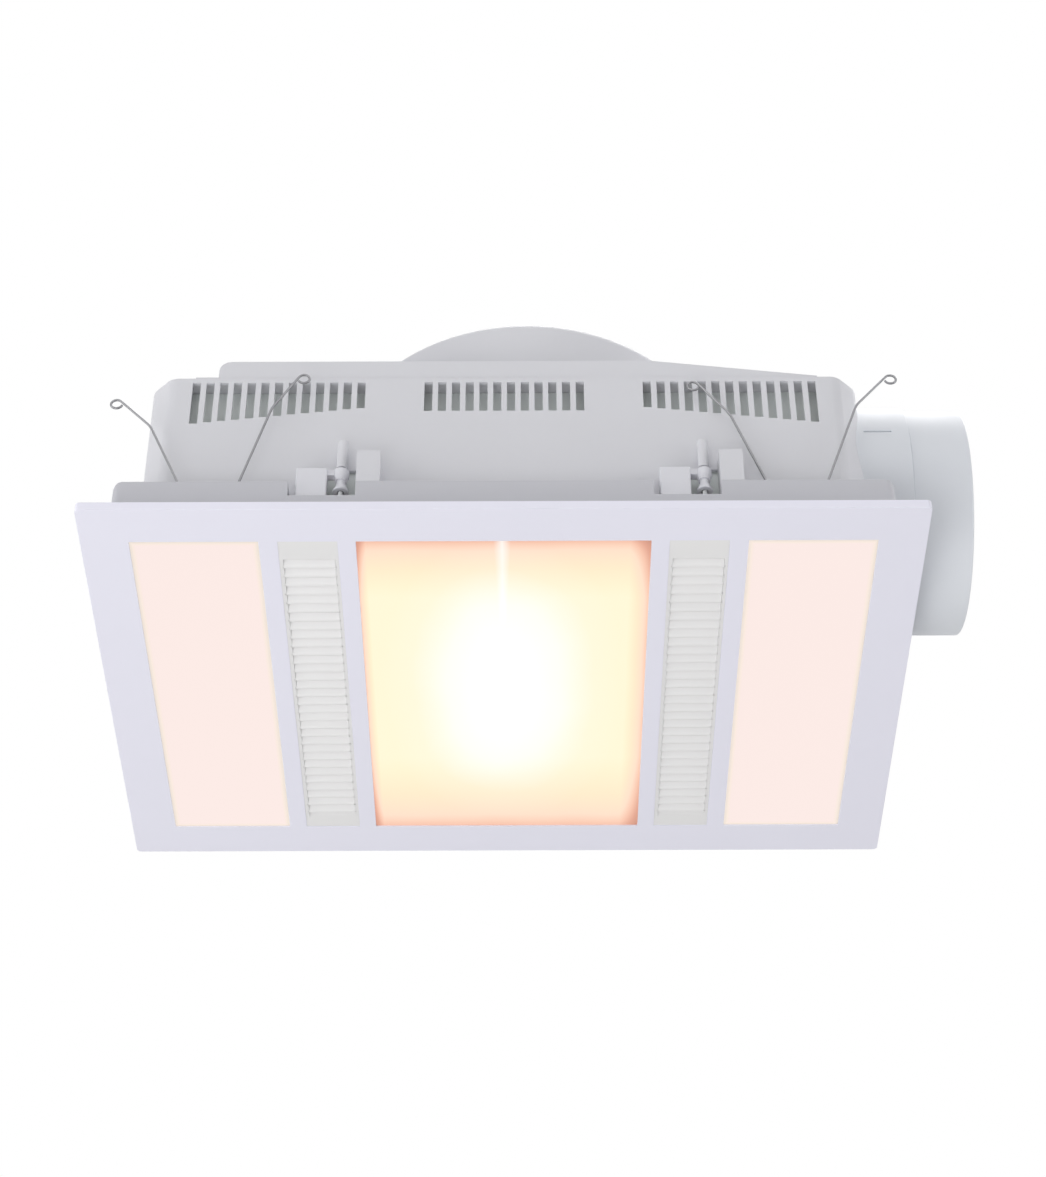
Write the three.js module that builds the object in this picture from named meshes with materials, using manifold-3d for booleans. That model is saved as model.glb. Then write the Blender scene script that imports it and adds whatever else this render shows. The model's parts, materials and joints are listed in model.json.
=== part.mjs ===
// Ceiling bathroom unit: heat lamp behind a glass lens, two light panels and a ducted extractor fan.
// Millimetres. Z = 0 is the underside of the ceiling, the origin is the middle of its cut-out,
// the duct leaves along +X and the front of the unit faces -Y.
import * as THREE from 'three';
import { mergeVertices } from 'three/addons/utils/BufferGeometryUtils.js';
import Module from 'manifold-3d';

const wasm = await Module();
wasm.setup();

// Clearances
const seatGap = 0.3;          // between pieces that touch
const slideGap = 0.6;         // round pieces that swing or travel
const weldMerge = 1e-4;
const overCut = 1;            // how far a cutter runs past the face it cuts

// Facets of round forms
const largeRound = 36;
const mediumRound = 18;
const smallRound = 12;
const arcSteps = 2;

// Face plan across X, from the outside in; every window has the same length along Y
const borderX = 30.5;
const lightWidth = 81;
const outerBar = 12;
const grilleWidth = 37.5;
const innerBar = 11.5;
const lensWidth = 185;
const windowLength = 303;
const borderY = 30;
const fasciaHeight = 6.5;
const fasciaPlate = 3.5;
const fasciaCorner = 3;
const rebateWidth = 2;        // ledge that carries lens, lights and grilles
const rebateDepth = 1.8;
const panelSetback = 0.3;     // lens and lights stand this far above the face
const barRibHeight = 5;
const barRibThickness = 1.6;
const barRibLength = 270;
const fasciaHalfX = lensWidth / 2 + innerBar + grilleWidth + outerBar + lightWidth + borderX;
const fasciaHalfY = windowLength / 2 + borderY;

// Housing: flange against the ceiling, collar through the cut-out, box above it
const shellWall = 2.5;
const flangeThickness = 2;
const flangeInset = 10;
const flangeCorner = 4;
const collarInsetX = 17.5;
const collarInsetY = 20;
const collarCorner = 6;
const collarHeight = 36;
const collarTopRound = 6;
const ledgeX = 14;
const ledgeY = 14;
const boxHeight = 142;
const boxFacet = 14;
const flangeHalfX = fasciaHalfX - flangeInset;
const flangeHalfY = fasciaHalfY - flangeInset;
const collarHalfX = fasciaHalfX - collarInsetX;
const collarHalfY = fasciaHalfY - collarInsetY;
const boxHalfX = collarHalfX - ledgeX;
const boxHalfY = collarHalfY - ledgeY;

// Cooling slots in the front and rear walls
const slotWidth = 5.4;
const slotPitch = 9.06;
const slotTop = 138;
const middleSlots = 12;
const middleSlotHeight = 26.5;
const sideSlots = 13;
const sideGroupFromEnd = 85.1; // from the box's end to the middle of a side group
const sideSlotInnerHeight = 23.7;
const sideSlotOuterHeight = 37.4;
const sideGroupX = boxHalfX - sideGroupFromEnd;

// Lid and motor drum on top of the box
const lidFromLeft = 44.5;      // from the box's end
const lidFromRight = 26.5;
const lidHeight = 16.3;
const lidWall = 2.2;
const lidFlat = 96;           // X where the roof starts to fall towards the duct
const lidLip = 15;            // flange beyond the left end
const lidLipHeight = 1.7;
const lidRound = 8;
const lidInset = 1;
const lidEndWall = 6.6;       // solid end where the roof runs out
const lidLeft = boxHalfX - lidFromLeft;
const lidRight = boxHalfX - lidFromRight;
const drumX = 15;             // axis of the fan, motor and drum
const drumRadius = 131;
const drumTop = 212.5;
const drumRound = 7;
const drumRoundSteps = 3;
const drumWall = 2.5;
const drumMouth = 112;        // hole in the lid under the drum

// Fan: scroll, wheel and motor on the vertical axis at drumX
const scrollFloor = 78;
const scrollRoof = 124.5;
const scrollWall = 2;
const scrollStart = 94;       // radius at the tongue
const scrollEnd = 116;        // radius where the outlet leaves
const tongueAngle = -25;
const outletAngle = 270;
const scrollSteps = 26;
const outletInnerY = -22;
const inletRadius = 70;
const inletLip = 5;
const inletLipWall = 3;
const hangerRadius = 4;
const hangerSpread = 62;      // roof hangers, each way from the axis
const lampHangerY = 84;
const lampHangerX = 12;
const wheelRadius = 86;
const bladeInner = 68;
const bladeCount = 18;
const bladeThickness = 1.6;
const bladeLean = 0.24;       // radians from root to tip
const bladeSteps = 4;
const bladeEmbed = 1;         // what the blades reach into the plate and ring
const wheelFloor = 84;
const wheelHeight = 36;
const wheelPlate = 2;
const wheelHub = 13;
const wheelHubDepth = 18;
const shaftRadius = 4;
const motorRadius = 46;
const motorHeight = 50;
const motorRim = 3;
const motorPlateRadius = 58;
const motorPlateThickness = 2;
const motorPlateBore = 8;
const motorHoleRadius = 52;
const motorBodyHole = 62;
const shaftIntoMotor = 24;

// Duct
const ductY = -60.7;
const ductZ = 88.8;
const ductRadius = 75;
const ductWall = 2;
const adaptorRadius = 77;
const adaptorLength = 31.1;
const adaptorWall = 2.5;
const spigotLength = 38.4;
const spigotPlug = 13;        // part of the spigot inside the adaptor
const spigotLip = 1.6;
const spigotLipDrop = 0.5;
const spigotLipRun = 3.2;
const notchGap = 1;
const snapSlotAngle = 80;     // from the top towards the front
const snapSlotStart = 1.5;    // from the end that meets the housing
const snapSlotLength = 18.4;
const snapSlotHeight = 1.8;
const snapSlotDepth = 1.4;
const outletInset = 2;

// Backdraught flaps in the spigot
const flapThickness = 1.5;
const flapRodRadius = 2;
const knuckleRadius = 3.8;
const knuckleLength = 16;
const knuckleStagger = 22;
const knuckleBands = [-56, 10];
const flapStart = 4.4;
const flapFromPlugEnd = 6;
const flapSpringTurns = 4;
const flapSpringPitch = 1.5;
const flapSpringWire = 0.8;
const flapSpringRadius = 3.6;
const flapSpringZ = -8;

// Heat lamp and its reflector
const reflectorBase = 1;
const reflectorTop = 56;
const reflectorSide = 4.5;    // from the lens's edge
const reflectorEnd = 8.5;     // from the window's end
const reflectorCrownX = 50;
const reflectorWall = 1.2;
const reflectorShoulder = 0.75; // height of its bend, as a share of the top
const reflectorHalfX = lensWidth / 2 - reflectorSide;
const reflectorHalfY = windowLength / 2 - reflectorEnd;
const lampZ = 29;
const lampRadius = 22;
const lampNeck = 13;
const lampStart = -104;       // end of the screw cap, along Y
const lampCap = 24;
const lampShoulder = 46;
const lampLength = 158;
const lampFlare = 1.5;
const lampFlareLength = 2;
const lampShoulderDrop = 2;
const lampShoulderRun = 8;
const lampEndSteps = 4;
const holderRadius = 18;
const holderWall = 3.6;
const holderDepth = 15;

// Electrical box inside the rear wall
const terminalFromEnd = 40.5; // from the box's end to its middle
const terminalZ = 78;
const terminalLength = 44;
const terminalDepth = 31;
const terminalHeight = 34;
const terminalWall = 2;
const terminalX = terminalFromEnd - boxHalfX;
const glandRadius = 8;
const glandFlange = 11.5;
const glandFlangeThickness = 3;
const glandNose = 5;
const glandBore = 4;
const glandInside = 3;        // what shows inside the electrical box
const glandChamfer = 1;

// Light panels and grilles
const trayTop = 3.4;
const trayWall = 1;
const trayFromEnd = 3;        // from the window's end
const trayHalfY = windowLength / 2 - trayFromEnd;
const boardThickness = 1.2;
const boardGap = 2.2;
const louvrePitch = 8.7;
const grilleEndBand = 5;
const grilleSideBand = 2.6;
const grilleTop = -2.2;
const louvreThickness = 2.6;  // along Y
const louvreRun = 7.5;

// V springs that pull the face up through slots in the collar's ledge
const springFromEnd = 60.5;   // from the collar's end
const springX = collarHalfX - springFromEnd;
const springFromCollar = 7.5;
const wireDiameter = 1.8;
const coilRadius = 6;
const coilPitch = 2.4;
const coilTurns = 1;
const coilZ = 9;
const coilSteps = 8;
const wireSides = 5;
const legFromCoil = 2.2;      // start of a leg along the tangent of its coil
const legLedgeX = 17.5;
const leftLeg = { kinkX: 41.4, kinkZ: 97.5, loopX: 64.3, loopZ: 122 };
const rightLeg = { kinkX: 39.6, kinkZ: 108, loopX: 61.8, loopZ: 132.3 };
const loopRadius = 3.7;
const loopSteps = 9;
const loopSweep = 300;
const springSlotHalfX = 27;
const springSlotHalfY = 3.6;
const springSlotCorner = 1;
const bracketHalfX = 11;
const bracketBase = 2.2;
const earThickness = 1.4;
const earHalfX = 7;
const earGap = 0.5;

// Swing clamps: screw, threaded sleeve and arm, at two places on each long side
const clampFromLeft = 130;    // from the box's ends
const clampFromRight = 106;
const clampX = [clampFromLeft - boxHalfX, boxHalfX - clampFromRight];
const clampFromBox = 6;
const screwRadius = 2;
const screwTip = 2.4;         // above the guide
const screwHeadRadius = 4.6;
const screwHead = 3;
const screwHeadChamfer = 1;
const screwPoint = 0.8;
const bayBottom = 4;
const bayFloor = 18;
const bayWall = 2.2;
const padBayFloor = 9;
const bandTop = 24;           // front lip of the clamp bay
const windowReach = 10;       // window in the box wall behind the clamp
const windowTop = 58;
const railFromPivot = 9.8;    // fixed rail that stops the arm's swing
const railWidth = 15.1;
const railTop = 63;
const padLength = 19.8;
const padSideGap = 4.3;
const padBottom = 24.2;
const padBackGap = 2;
const padCorner = 1.2;
const padSwingGap = 0.8;
const armTop = 51;
const hubHeight = 7.5;
const hubRadius = 5.1;
const hubFoot = 3.9;
const neckHeight = 5;
const neckHalfY = 2.8;
const sleeveLength = 18;
const sleeveWall = 0.7;
const sleeveFlange = 2;
const sleeveCone = 4;
const sleeveFlangeRadius = 5;
const sleeveShoulder = 1;     // ring that carries the arm
const guideRadius = 3.4;
const guideWeb = 3;
const guideHeight = 23;
const guideGap = 2.6;         // above the arm

// Finishes
function finish(color, roughness, metalness = 0) {
  return new THREE.MeshStandardMaterial({ color, roughness, metalness });
}

const housingPlastic = finish('#d2d2d7', 0.55);
const ductPlastic = finish('#d0d4d9', 0.5);
const fasciaPlastic = finish('#dfdeeb', 0.35);
const grillePlastic = finish('#eeeeee', 0.4);
const lensGlass = finish('#ffe9b8', 0.3);
const lightDiffuser = finish('#fbeae6', 0.4);
const aluminium = finish('#c9cbce', 0.35, 0.9);
const zincSteel = finish('#b4b6b8', 0.35, 0.9);
const springWire = finish('#a5a5a6', 0.3, 0.9);
const ceramic = finish('#ece8df', 0.5);
const lampGlass = finish('#fff1cf', 0.15);
const wheelPlastic = finish('#c9ccce', 0.5);
const darkPlastic = finish('#4a4d50', 0.6);
const clampPlastic = finish('#dedee4', 0.5);
const circuitBoard = finish('#e9ece8', 0.5);

const unit = new THREE.Group();

// ---- Forms ----

// Closed solid of a geometry: shared corners merged, empty triangles dropped, faces turned outwards
function solid(geometry) {
  geometry.deleteAttribute('normal');
  geometry.deleteAttribute('uv');
  const merged = mergeVertices(geometry, weldMerge);
  const place = merged.attributes.position;
  const source = merged.index.array;
  const corner = [new THREE.Vector3(), new THREE.Vector3(), new THREE.Vector3()];
  const triangles = [];
  let volume = 0;
  for (let i = 0; i < source.length; i += 3) {
    const [a, b, c] = [source[i], source[i + 1], source[i + 2]];
    if (a === b || b === c || c === a) continue;
    corner[0].fromBufferAttribute(place, a);
    corner[1].fromBufferAttribute(place, b);
    corner[2].fromBufferAttribute(place, c);
    volume += corner[0].dot(corner[1].cross(corner[2]));
    triangles.push(a, b, c);
  }
  if (volume < 0) triangles.reverse();
  const triVerts = new Uint32Array(triangles);
  const vertProperties = new Float32Array(place.array);
  return new wasm.Manifold(new wasm.Mesh({ numProp: 3, vertProperties, triVerts }));
}

function geometryOf(piece) {
  const mesh = piece.getMesh();
  const geometry = new THREE.BufferGeometry();
  geometry.setAttribute('position', new THREE.BufferAttribute(mesh.vertProperties, 3));
  geometry.setIndex(new THREE.BufferAttribute(mesh.triVerts, 1));
  return geometry;
}

function joined(first, ...others) {
  return others.reduce((whole, piece) => whole.add(piece), first);
}

function cut(first, ...others) {
  return others.reduce((whole, piece) => whole.subtract(piece), first);
}

// The same solid moved, or turned half round about the vertical axis
function moved(piece, x, y, z) {
  return solid(geometryOf(piece).translate(x, y, z));
}

function turnedRound(piece) {
  return solid(geometryOf(piece).rotateZ(Math.PI));
}

function block(xLow, xHigh, yLow, yHigh, zLow, zHigh) {
  const geometry = new THREE.BoxGeometry(xHigh - xLow, yHigh - yLow, zHigh - zLow);
  geometry.translate((xLow + xHigh) / 2, (yLow + yHigh) / 2, (zLow + zHigh) / 2);
  return solid(geometry);
}

function extrusion(outline, depth) {
  return new THREE.ExtrudeGeometry(outline, { depth, bevelEnabled: false, curveSegments: arcSteps });
}

function prism(outline, zLow, zHigh) {
  return solid(extrusion(outline, zHigh - zLow).translate(0, 0, zLow));
}

// Outline drawn in X and Z, run along Y
function prismAlongY(outline, yLow, yHigh) {
  return solid(extrusion(outline, yHigh - yLow).rotateX(Math.PI / 2).translate(0, yHigh, 0));
}

// Outline drawn in Y and Z, run along X
function prismAlongX(outline, xLow, xHigh) {
  const turn = new THREE.Matrix4();
  turn.makeBasis(new THREE.Vector3(0, 1, 0), new THREE.Vector3(0, 0, 1), new THREE.Vector3(1, 0, 0));
  return solid(extrusion(outline, xHigh - xLow).applyMatrix4(turn).translate(xLow, 0, 0));
}

function upright(radius, x, y, zLow, zHigh, sides = smallRound) {
  const geometry = new THREE.CylinderGeometry(radius, radius, zHigh - zLow, sides);
  return solid(geometry.rotateX(Math.PI / 2).translate(x, y, (zLow + zHigh) / 2));
}

function lyingAlongX(radius, xLow, xHigh, y, z, sides = largeRound) {
  const geometry = new THREE.CylinderGeometry(radius, radius, xHigh - xLow, sides);
  return solid(geometry.rotateZ(Math.PI / 2).translate((xLow + xHigh) / 2, y, z));
}

function lyingAlongY(radius, yLow, yHigh, x, z, sides = smallRound) {
  const geometry = new THREE.CylinderGeometry(radius, radius, yHigh - yLow, sides);
  return solid(geometry.translate(x, (yLow + yHigh) / 2, z));
}

// Profile of [radius, height] points turned about an axis through the origin
function turned(profile, sides) {
  return new THREE.LatheGeometry(profile.map(([radius, height]) => new THREE.Vector2(radius, height)), sides);
}

function turnedUpright(profile, x, y, sides = smallRound) {
  return solid(turned(profile, sides).rotateX(Math.PI / 2).translate(x, y, 0));
}

function polygon(points) {
  return new THREE.Shape(points.map(([x, y]) => new THREE.Vector2(x, y)));
}

function roundedOutline(halfX, halfY, radius) {
  const outline = new THREE.Shape();
  const quarter = Math.PI / 2;
  outline.absarc(halfX - radius, halfY - radius, radius, 0, quarter);
  outline.absarc(radius - halfX, halfY - radius, radius, quarter, 2 * quarter);
  outline.absarc(radius - halfX, radius - halfY, radius, 2 * quarter, 3 * quarter);
  outline.absarc(halfX - radius, radius - halfY, radius, 3 * quarter, 4 * quarter);
  return outline;
}

function facetedOutline(halfX, halfY, facet) {
  return polygon([
    [halfX - facet, -halfY], [halfX, facet - halfY], [halfX, halfY - facet], [halfX - facet, halfY],
    [facet - halfX, halfY], [-halfX, halfY - facet], [-halfX, facet - halfY], [facet - halfX, -halfY],
  ]);
}

// A wire's centre line that a section is run along: straight between its points, mitred at each
class WirePath extends THREE.Curve {
  constructor(points) {
    super();
    this.points = points;
  }

  getPoint(t) {
    return this.points[Math.round(t * (this.points.length - 1))].clone();
  }

  getPointAt(u) {
    return this.getPoint(u);
  }

  getTangentAt(u) {
    const last = this.points.length - 1;
    const here = Math.round(u * last);
    const before = this.points[Math.max(here - 1, 0)];
    const after = this.points[Math.min(here + 1, last)];
    const point = this.points[here];
    const arriving = here === 0 ? after.clone().sub(point) : point.clone().sub(before);
    const leaving = here === last ? arriving.clone() : after.clone().sub(point);
    return arriving.normalize().add(leaving.normalize()).normalize();
  }
}

function wire(points, diameter) {
  const section = [];
  for (let side = 0; side < wireSides; side += 1) {
    const angle = (2 * Math.PI * side) / wireSides;
    section.push([(diameter / 2) * Math.cos(angle), (diameter / 2) * Math.sin(angle)]);
  }
  const extrudePath = new WirePath(points);
  return solid(new THREE.ExtrudeGeometry(polygon(section), { steps: points.length - 1, extrudePath }));
}

function add(name, piece, material) {
  const mesh = new THREE.Mesh(geometryOf(piece), material);
  mesh.name = name;
  unit.add(mesh);
}

// ---- Housing ----

// One clamp bay on the front side: what stands on the shell and what is cut from it
const clampY = -(boxHalfY + clampFromBox);
const padStart = collarHalfY + clampY + padSwingGap;
const padEnd = padStart + padLength;
const padFront = -(collarHalfY - shellWall - slideGap);
const padBack = -(boxHalfY + padBackGap);
const bayReach = padEnd + padSideGap;
const screwHole = screwRadius + seatGap;
const guideBottom = armTop + guideGap;
const guideTop = guideBottom + guideHeight;
const collarFoot = -flangeThickness;

function clampBayBody(x) {
  const inside = -(boxHalfY - shellWall);
  const railStart = x + railFromPivot;
  return joined(
    block(x - bayReach - bayWall, railStart + railWidth, -collarHalfY, inside, bayBottom, collarHeight),
    block(railStart, railStart + railWidth, -collarHalfY, inside, bayBottom, railTop),
    upright(guideRadius, x, clampY, guideBottom, guideTop),
    block(x - guideWeb / 2, x + guideWeb / 2, clampY, inside, windowTop, guideTop),
  );
}

function clampBayCut(x) {
  const bandBack = -(collarHalfY - shellWall);
  const before = -(collarHalfY + overCut);
  const above = guideBottom - overCut;
  const inside = -(boxHalfY - shellWall);
  return joined(
    block(x - windowReach, x + railFromPivot, -boxHalfY - overCut, inside + overCut, bandTop, windowTop),
    block(x - padStart, x + railFromPivot, bandBack, -boxHalfY, bayFloor, above),
    block(x - bayReach, x - padStart + slideGap, bandBack, -boxHalfY, padBayFloor, above),
    block(x - bayReach, x + railFromPivot, before, bandBack + overCut, bandTop, above),
    upright(screwHole, x, clampY, -overCut, boxHeight),
  );
}

function housingForm(inset, zLow) {
  const facet = boxFacet - inset * Math.tan(Math.PI / 8);
  return prism(facetedOutline(boxHalfX - inset, boxHalfY - inset, facet), zLow, boxHeight - inset);
}

// Plan of the collar, grown by a distance all round
function collarOutline(grown) {
  return roundedOutline(collarHalfX + grown, collarHalfY + grown, collarCorner + grown);
}

function collarForm() {
  const outline = new THREE.Shape();
  const turnX = collarHalfX - collarTopRound;
  const turnZ = collarHeight - collarTopRound;
  outline.moveTo(-collarHalfX, collarFoot);
  outline.lineTo(collarHalfX, collarFoot);
  outline.absarc(turnX, turnZ, collarTopRound, 0, Math.PI / 2);
  outline.absarc(-turnX, turnZ, collarTopRound, Math.PI / 2, Math.PI);
  const plan = prism(collarOutline(0), collarFoot, collarHeight);
  return plan.intersect(prismAlongY(outline, -collarHalfY - overCut, collarHalfY + overCut));
}

// Slots of the front wall, repeated in the rear wall
function slotCutters() {
  const cutters = [];
  const wallInner = boxHalfY - shellWall - overCut;
  const wallOuter = boxHalfY + overCut;
  const wallCut = (x, height) => {
    for (const [yLow, yHigh] of [[-wallOuter, -wallInner], [wallInner, wallOuter]]) {
      cutters.push(block(x - slotWidth / 2, x + slotWidth / 2, yLow, yHigh, slotTop - height, slotTop));
    }
  };
  for (let i = 0; i < middleSlots; i += 1) {
    wallCut((i - (middleSlots - 1) / 2) * slotPitch, middleSlotHeight);
  }
  for (let i = 0; i < sideSlots; i += 1) {
    const x = sideGroupX + (i - (sideSlots - 1) / 2) * slotPitch;
    const share = i / (sideSlots - 1);
    const height = THREE.MathUtils.lerp(sideSlotInnerHeight, sideSlotOuterHeight, share);
    wallCut(x, height);
    wallCut(-x, height);
  }
  return cutters;
}

const springY = collarHalfY - springFromCollar;
const outletTop = scrollRoof - scrollWall;
const outletBottom = scrollFloor + scrollWall;
const outletFront = -(scrollEnd - scrollWall - outletInset);
const outletRear = outletInnerY - scrollWall - outletInset;
const notchRadius = adaptorRadius + notchGap;
const wallInside = boxHalfX - shellWall;

// Flat ring round the collar's foot
function makeFlange() {
  const plate = prism(roundedOutline(flangeHalfX, flangeHalfY, flangeCorner), collarFoot, 0);
  return cut(plate, prism(collarOutline(seatGap), collarFoot - overCut, overCut));
}

// Collar and box as one shell; the box stands on the collar's ledge and is parted from it there
function makeShell() {
  const cavity = prism(collarOutline(-shellWall), collarFoot - overCut, collarHeight - shellWall);
  const solidForm = joined(collarForm(), housingForm(0, 0));
  const shell = cut(solidForm, cavity, housingForm(shellWall, -overCut));

  const notchShell = lyingAlongX(notchRadius + shellWall, wallInside, collarHalfX, ductY, ductZ)
    .intersect(block(wallInside, collarHalfX, -collarHalfY, collarHalfY, 0, collarHeight));
  const bays = clampX.map(clampBayBody);
  const bayCuts = clampX.map(clampBayCut);
  const body = joined(shell, notchShell, ...bays, ...bays.map(turnedRound));

  const notch = lyingAlongX(notchRadius, boxHalfX, collarHalfX + overCut, ductY, ductZ);
  const outletStart = wallInside - overCut;
  const outletEnd = boxHalfX + overCut;
  const outlet = block(outletStart, outletEnd, outletFront, outletRear, outletBottom, outletTop);
  const roofInside = boxHeight - shellWall - overCut;
  const rearInside = boxHalfY - shellWall - overCut;
  const motorHole = upright(motorBodyHole, drumX, 0, roofInside, boxHeight + overCut, largeRound);
  const glandFit = glandRadius + seatGap;
  const glandHole = lyingAlongY(glandFit, rearInside, boxHalfY + overCut, terminalX, terminalZ);
  const slotLow = collarHeight - shellWall - overCut;
  const springSlots = [];
  for (const x of [-springX, springX]) {
    for (const y of [-springY, springY]) {
      const slot = roundedOutline(springSlotHalfX, springSlotHalfY, springSlotCorner);
      springSlots.push(moved(prism(slot, slotLow, collarHeight + overCut), x, y, 0));
    }
  }
  return cut(body, notch, outlet, motorHole, glandHole, ...springSlots, ...slotCutters(),
    ...bayCuts, ...bayCuts.map(turnedRound));
}

function layer(shell, zLow, zHigh) {
  return shell.intersect(block(-collarHalfX, collarHalfX, -collarHalfY, collarHalfY, zLow, zHigh));
}

// ---- Lid and drum ----

const lidBase = boxHeight + seatGap;
const lidTop = lidBase + lidHeight;
const lidHalfY = boxHalfY - lidInset;

function lidOutline(inset, low, right) {
  const outline = new THREE.Shape();
  const radius = lidRound - inset;
  outline.moveTo(inset - lidLeft, low);
  outline.lineTo(right, low);
  outline.lineTo(right, lidBase + lidLipHeight - inset / 2);
  outline.lineTo(lidFlat, lidTop - inset);
  outline.absarc(lidRound - lidLeft, lidTop - lidRound, radius, Math.PI / 2, Math.PI);
  return outline;
}

function makeLid() {
  const cover = prismAlongY(lidOutline(0, lidBase, lidRight), -lidHalfY, lidHalfY);
  const inside = lidOutline(lidWall, lidBase - overCut, lidRight - lidEndWall);
  const hollow = prismAlongY(inside, lidWall - lidHalfY, lidHalfY - lidWall);
  const lipTop = lidBase + lidLipHeight;
  const lip = block(-lidLeft - lidLip, lidWall * 2 - lidLeft, -lidHalfY, lidHalfY, lidBase, lipTop);
  const mouth = upright(drumMouth, drumX, 0, lidBase - overCut, lidTop + overCut, largeRound);
  return cut(joined(cut(cover, hollow), lip), mouth);
}

function makeDrum() {
  const rim = drumRadius - drumRound;
  const arc = (radius, height, reach) => {
    const points = [];
    for (let i = 0; i <= drumRoundSteps; i += 1) {
      const angle = (Math.PI / 2 / drumRoundSteps) * i;
      points.push([radius + reach * Math.cos(angle), height + reach * Math.sin(angle)]);
    }
    return points;
  };
  const outer = arc(rim, drumTop - drumRound, drumRound);
  const inner = arc(rim, drumTop - drumRound, drumRound - drumWall).reverse();
  const foot = lidBase;
  const profile = [[drumRadius, foot], ...outer, [0, drumTop], [0, drumTop - drumWall], ...inner,
    [drumRadius - drumWall, foot], [drumRadius, foot]];
  const shell = turnedUpright(profile, drumX, 0, largeRound);
  const cover = prismAlongY(lidOutline(0, lidBase, lidRight), -lidHalfY - overCut, lidHalfY + overCut);
  const lidSpace = moved(cover, 0, 0, seatGap);
  const lidEdge = lidBase + lidLipHeight + seatGap;
  const lidBelow = block(-lidLeft, lidRight, -lidHalfY, lidHalfY, foot - overCut, lidEdge);
  return cut(shell, lidSpace, lidBelow);
}

// ---- Fan ----

function scrollOutline(inset, outletEnd) {
  const points = [];
  const start = THREE.MathUtils.degToRad(tongueAngle);
  const sweep = THREE.MathUtils.degToRad(outletAngle) - start;
  for (let i = 0; i <= scrollSteps; i += 1) {
    const share = i / scrollSteps;
    const radius = THREE.MathUtils.lerp(scrollStart, scrollEnd, share) - inset;
    const angle = start + sweep * share;
    points.push([drumX + radius * Math.cos(angle), radius * Math.sin(angle)]);
  }
  points.push([outletEnd, inset - scrollEnd]);
  points.push([outletEnd, outletInnerY - inset]);
  return polygon(points);
}

function makeScroll() {
  const end = wallInside - seatGap;
  const outer = prism(scrollOutline(0, end), scrollFloor, scrollRoof);
  const inner = prism(scrollOutline(scrollWall, end + overCut), outletBottom, outletTop);
  const lip = upright(inletRadius + inletLipWall, drumX, 0, scrollFloor - inletLip, scrollFloor, largeRound);
  const lipBottom = scrollFloor - inletLip - overCut;
  const inlet = upright(inletRadius, drumX, 0, lipBottom, outletBottom + overCut, largeRound);
  const roofHole = upright(motorHoleRadius, drumX, 0, outletTop - overCut, scrollRoof + overCut, largeRound);
  const hangers = [];
  for (const sideX of [-1, 1]) {
    for (const sideY of [-1, 1]) {
      hangers.push(upright(hangerRadius, drumX + sideX * hangerSpread, sideY * hangerSpread,
        outletTop, boxHeight - shellWall - seatGap));
      hangers.push(upright(hangerRadius, sideX * lampHangerX, sideY * lampHangerY,
        reflectorTop + seatGap, outletBottom));
    }
  }
  return cut(joined(cut(outer, inner), lip, ...hangers), inlet, roofHole);
}

// Blade between two radii, curved backwards against the direction of turning
function bladeOutline(turn) {
  const front = [];
  const back = [];
  for (let i = 0; i <= bladeSteps; i += 1) {
    const share = i / bladeSteps;
    const radius = THREE.MathUtils.lerp(bladeInner + bladeEmbed, wheelRadius - bladeEmbed / 2, share);
    const angle = turn - bladeLean * share * share;
    const half = bladeThickness / 2 / radius;
    front.push([radius * Math.cos(angle - half), radius * Math.sin(angle - half)]);
    back.push([radius * Math.cos(angle + half), radius * Math.sin(angle + half)]);
  }
  return polygon([...front, ...back.reverse()]);
}

const wheelTop = wheelFloor + wheelHeight;
const plateTop = scrollRoof + seatGap + motorPlateThickness;
const motorBase = plateTop + seatGap;

function makeWheel() {
  const ring = cut(upright(wheelRadius, 0, 0, wheelFloor, wheelFloor + wheelPlate, largeRound),
    upright(bladeInner, 0, 0, wheelFloor - overCut, wheelFloor + wheelPlate + overCut, largeRound));
  const plate = upright(wheelRadius, 0, 0, wheelTop - wheelPlate, wheelTop, largeRound);
  const hub = upright(wheelHub, 0, 0, wheelTop - wheelHubDepth, wheelTop);
  const bore = upright(shaftRadius + seatGap, 0, 0, wheelFloor, wheelTop + overCut);
  const blades = [];
  for (let i = 0; i < bladeCount; i += 1) {
    const outline = bladeOutline((2 * Math.PI * i) / bladeCount);
    blades.push(prism(outline, wheelFloor + bladeEmbed, wheelTop - bladeEmbed));
  }
  return moved(cut(joined(ring, plate, hub, ...blades), bore), drumX, 0, 0);
}

function makeMotorPlate() {
  const disc = upright(motorPlateRadius, drumX, 0, scrollRoof + seatGap, plateTop, largeRound);
  return disc.subtract(upright(motorPlateBore, drumX, 0, scrollRoof - overCut, plateTop + overCut));
}

function makeMotor() {
  const top = motorBase + motorHeight;
  const bore = shaftRadius + seatGap;
  const boreTop = motorBase + shaftIntoMotor + seatGap;
  const profile = [
    [bore, motorBase], [motorRadius - motorRim, motorBase], [motorRadius, motorBase + motorRim],
    [motorRadius, top - motorRim], [motorRadius - motorRim, top], [0, top],
    [0, boreTop], [bore, boreTop], [bore, motorBase],
  ];
  return turnedUpright(profile, drumX, 0, mediumRound);
}

function makeShaft() {
  return upright(shaftRadius, drumX, 0, wheelTop - wheelHubDepth, motorBase + shaftIntoMotor);
}

// ---- Duct ----

const adaptorStart = boxHalfX + seatGap;
const adaptorEnd = adaptorStart + adaptorLength;
const spigotStart = adaptorEnd + seatGap;
const spigotEnd = spigotStart + spigotLength;
const plugStart = adaptorEnd - spigotPlug;
const plugRadius = adaptorRadius - adaptorWall - seatGap;
const flapX = plugStart + flapFromPlugEnd;
const flapRadius = plugRadius - ductWall - slideGap;

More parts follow.
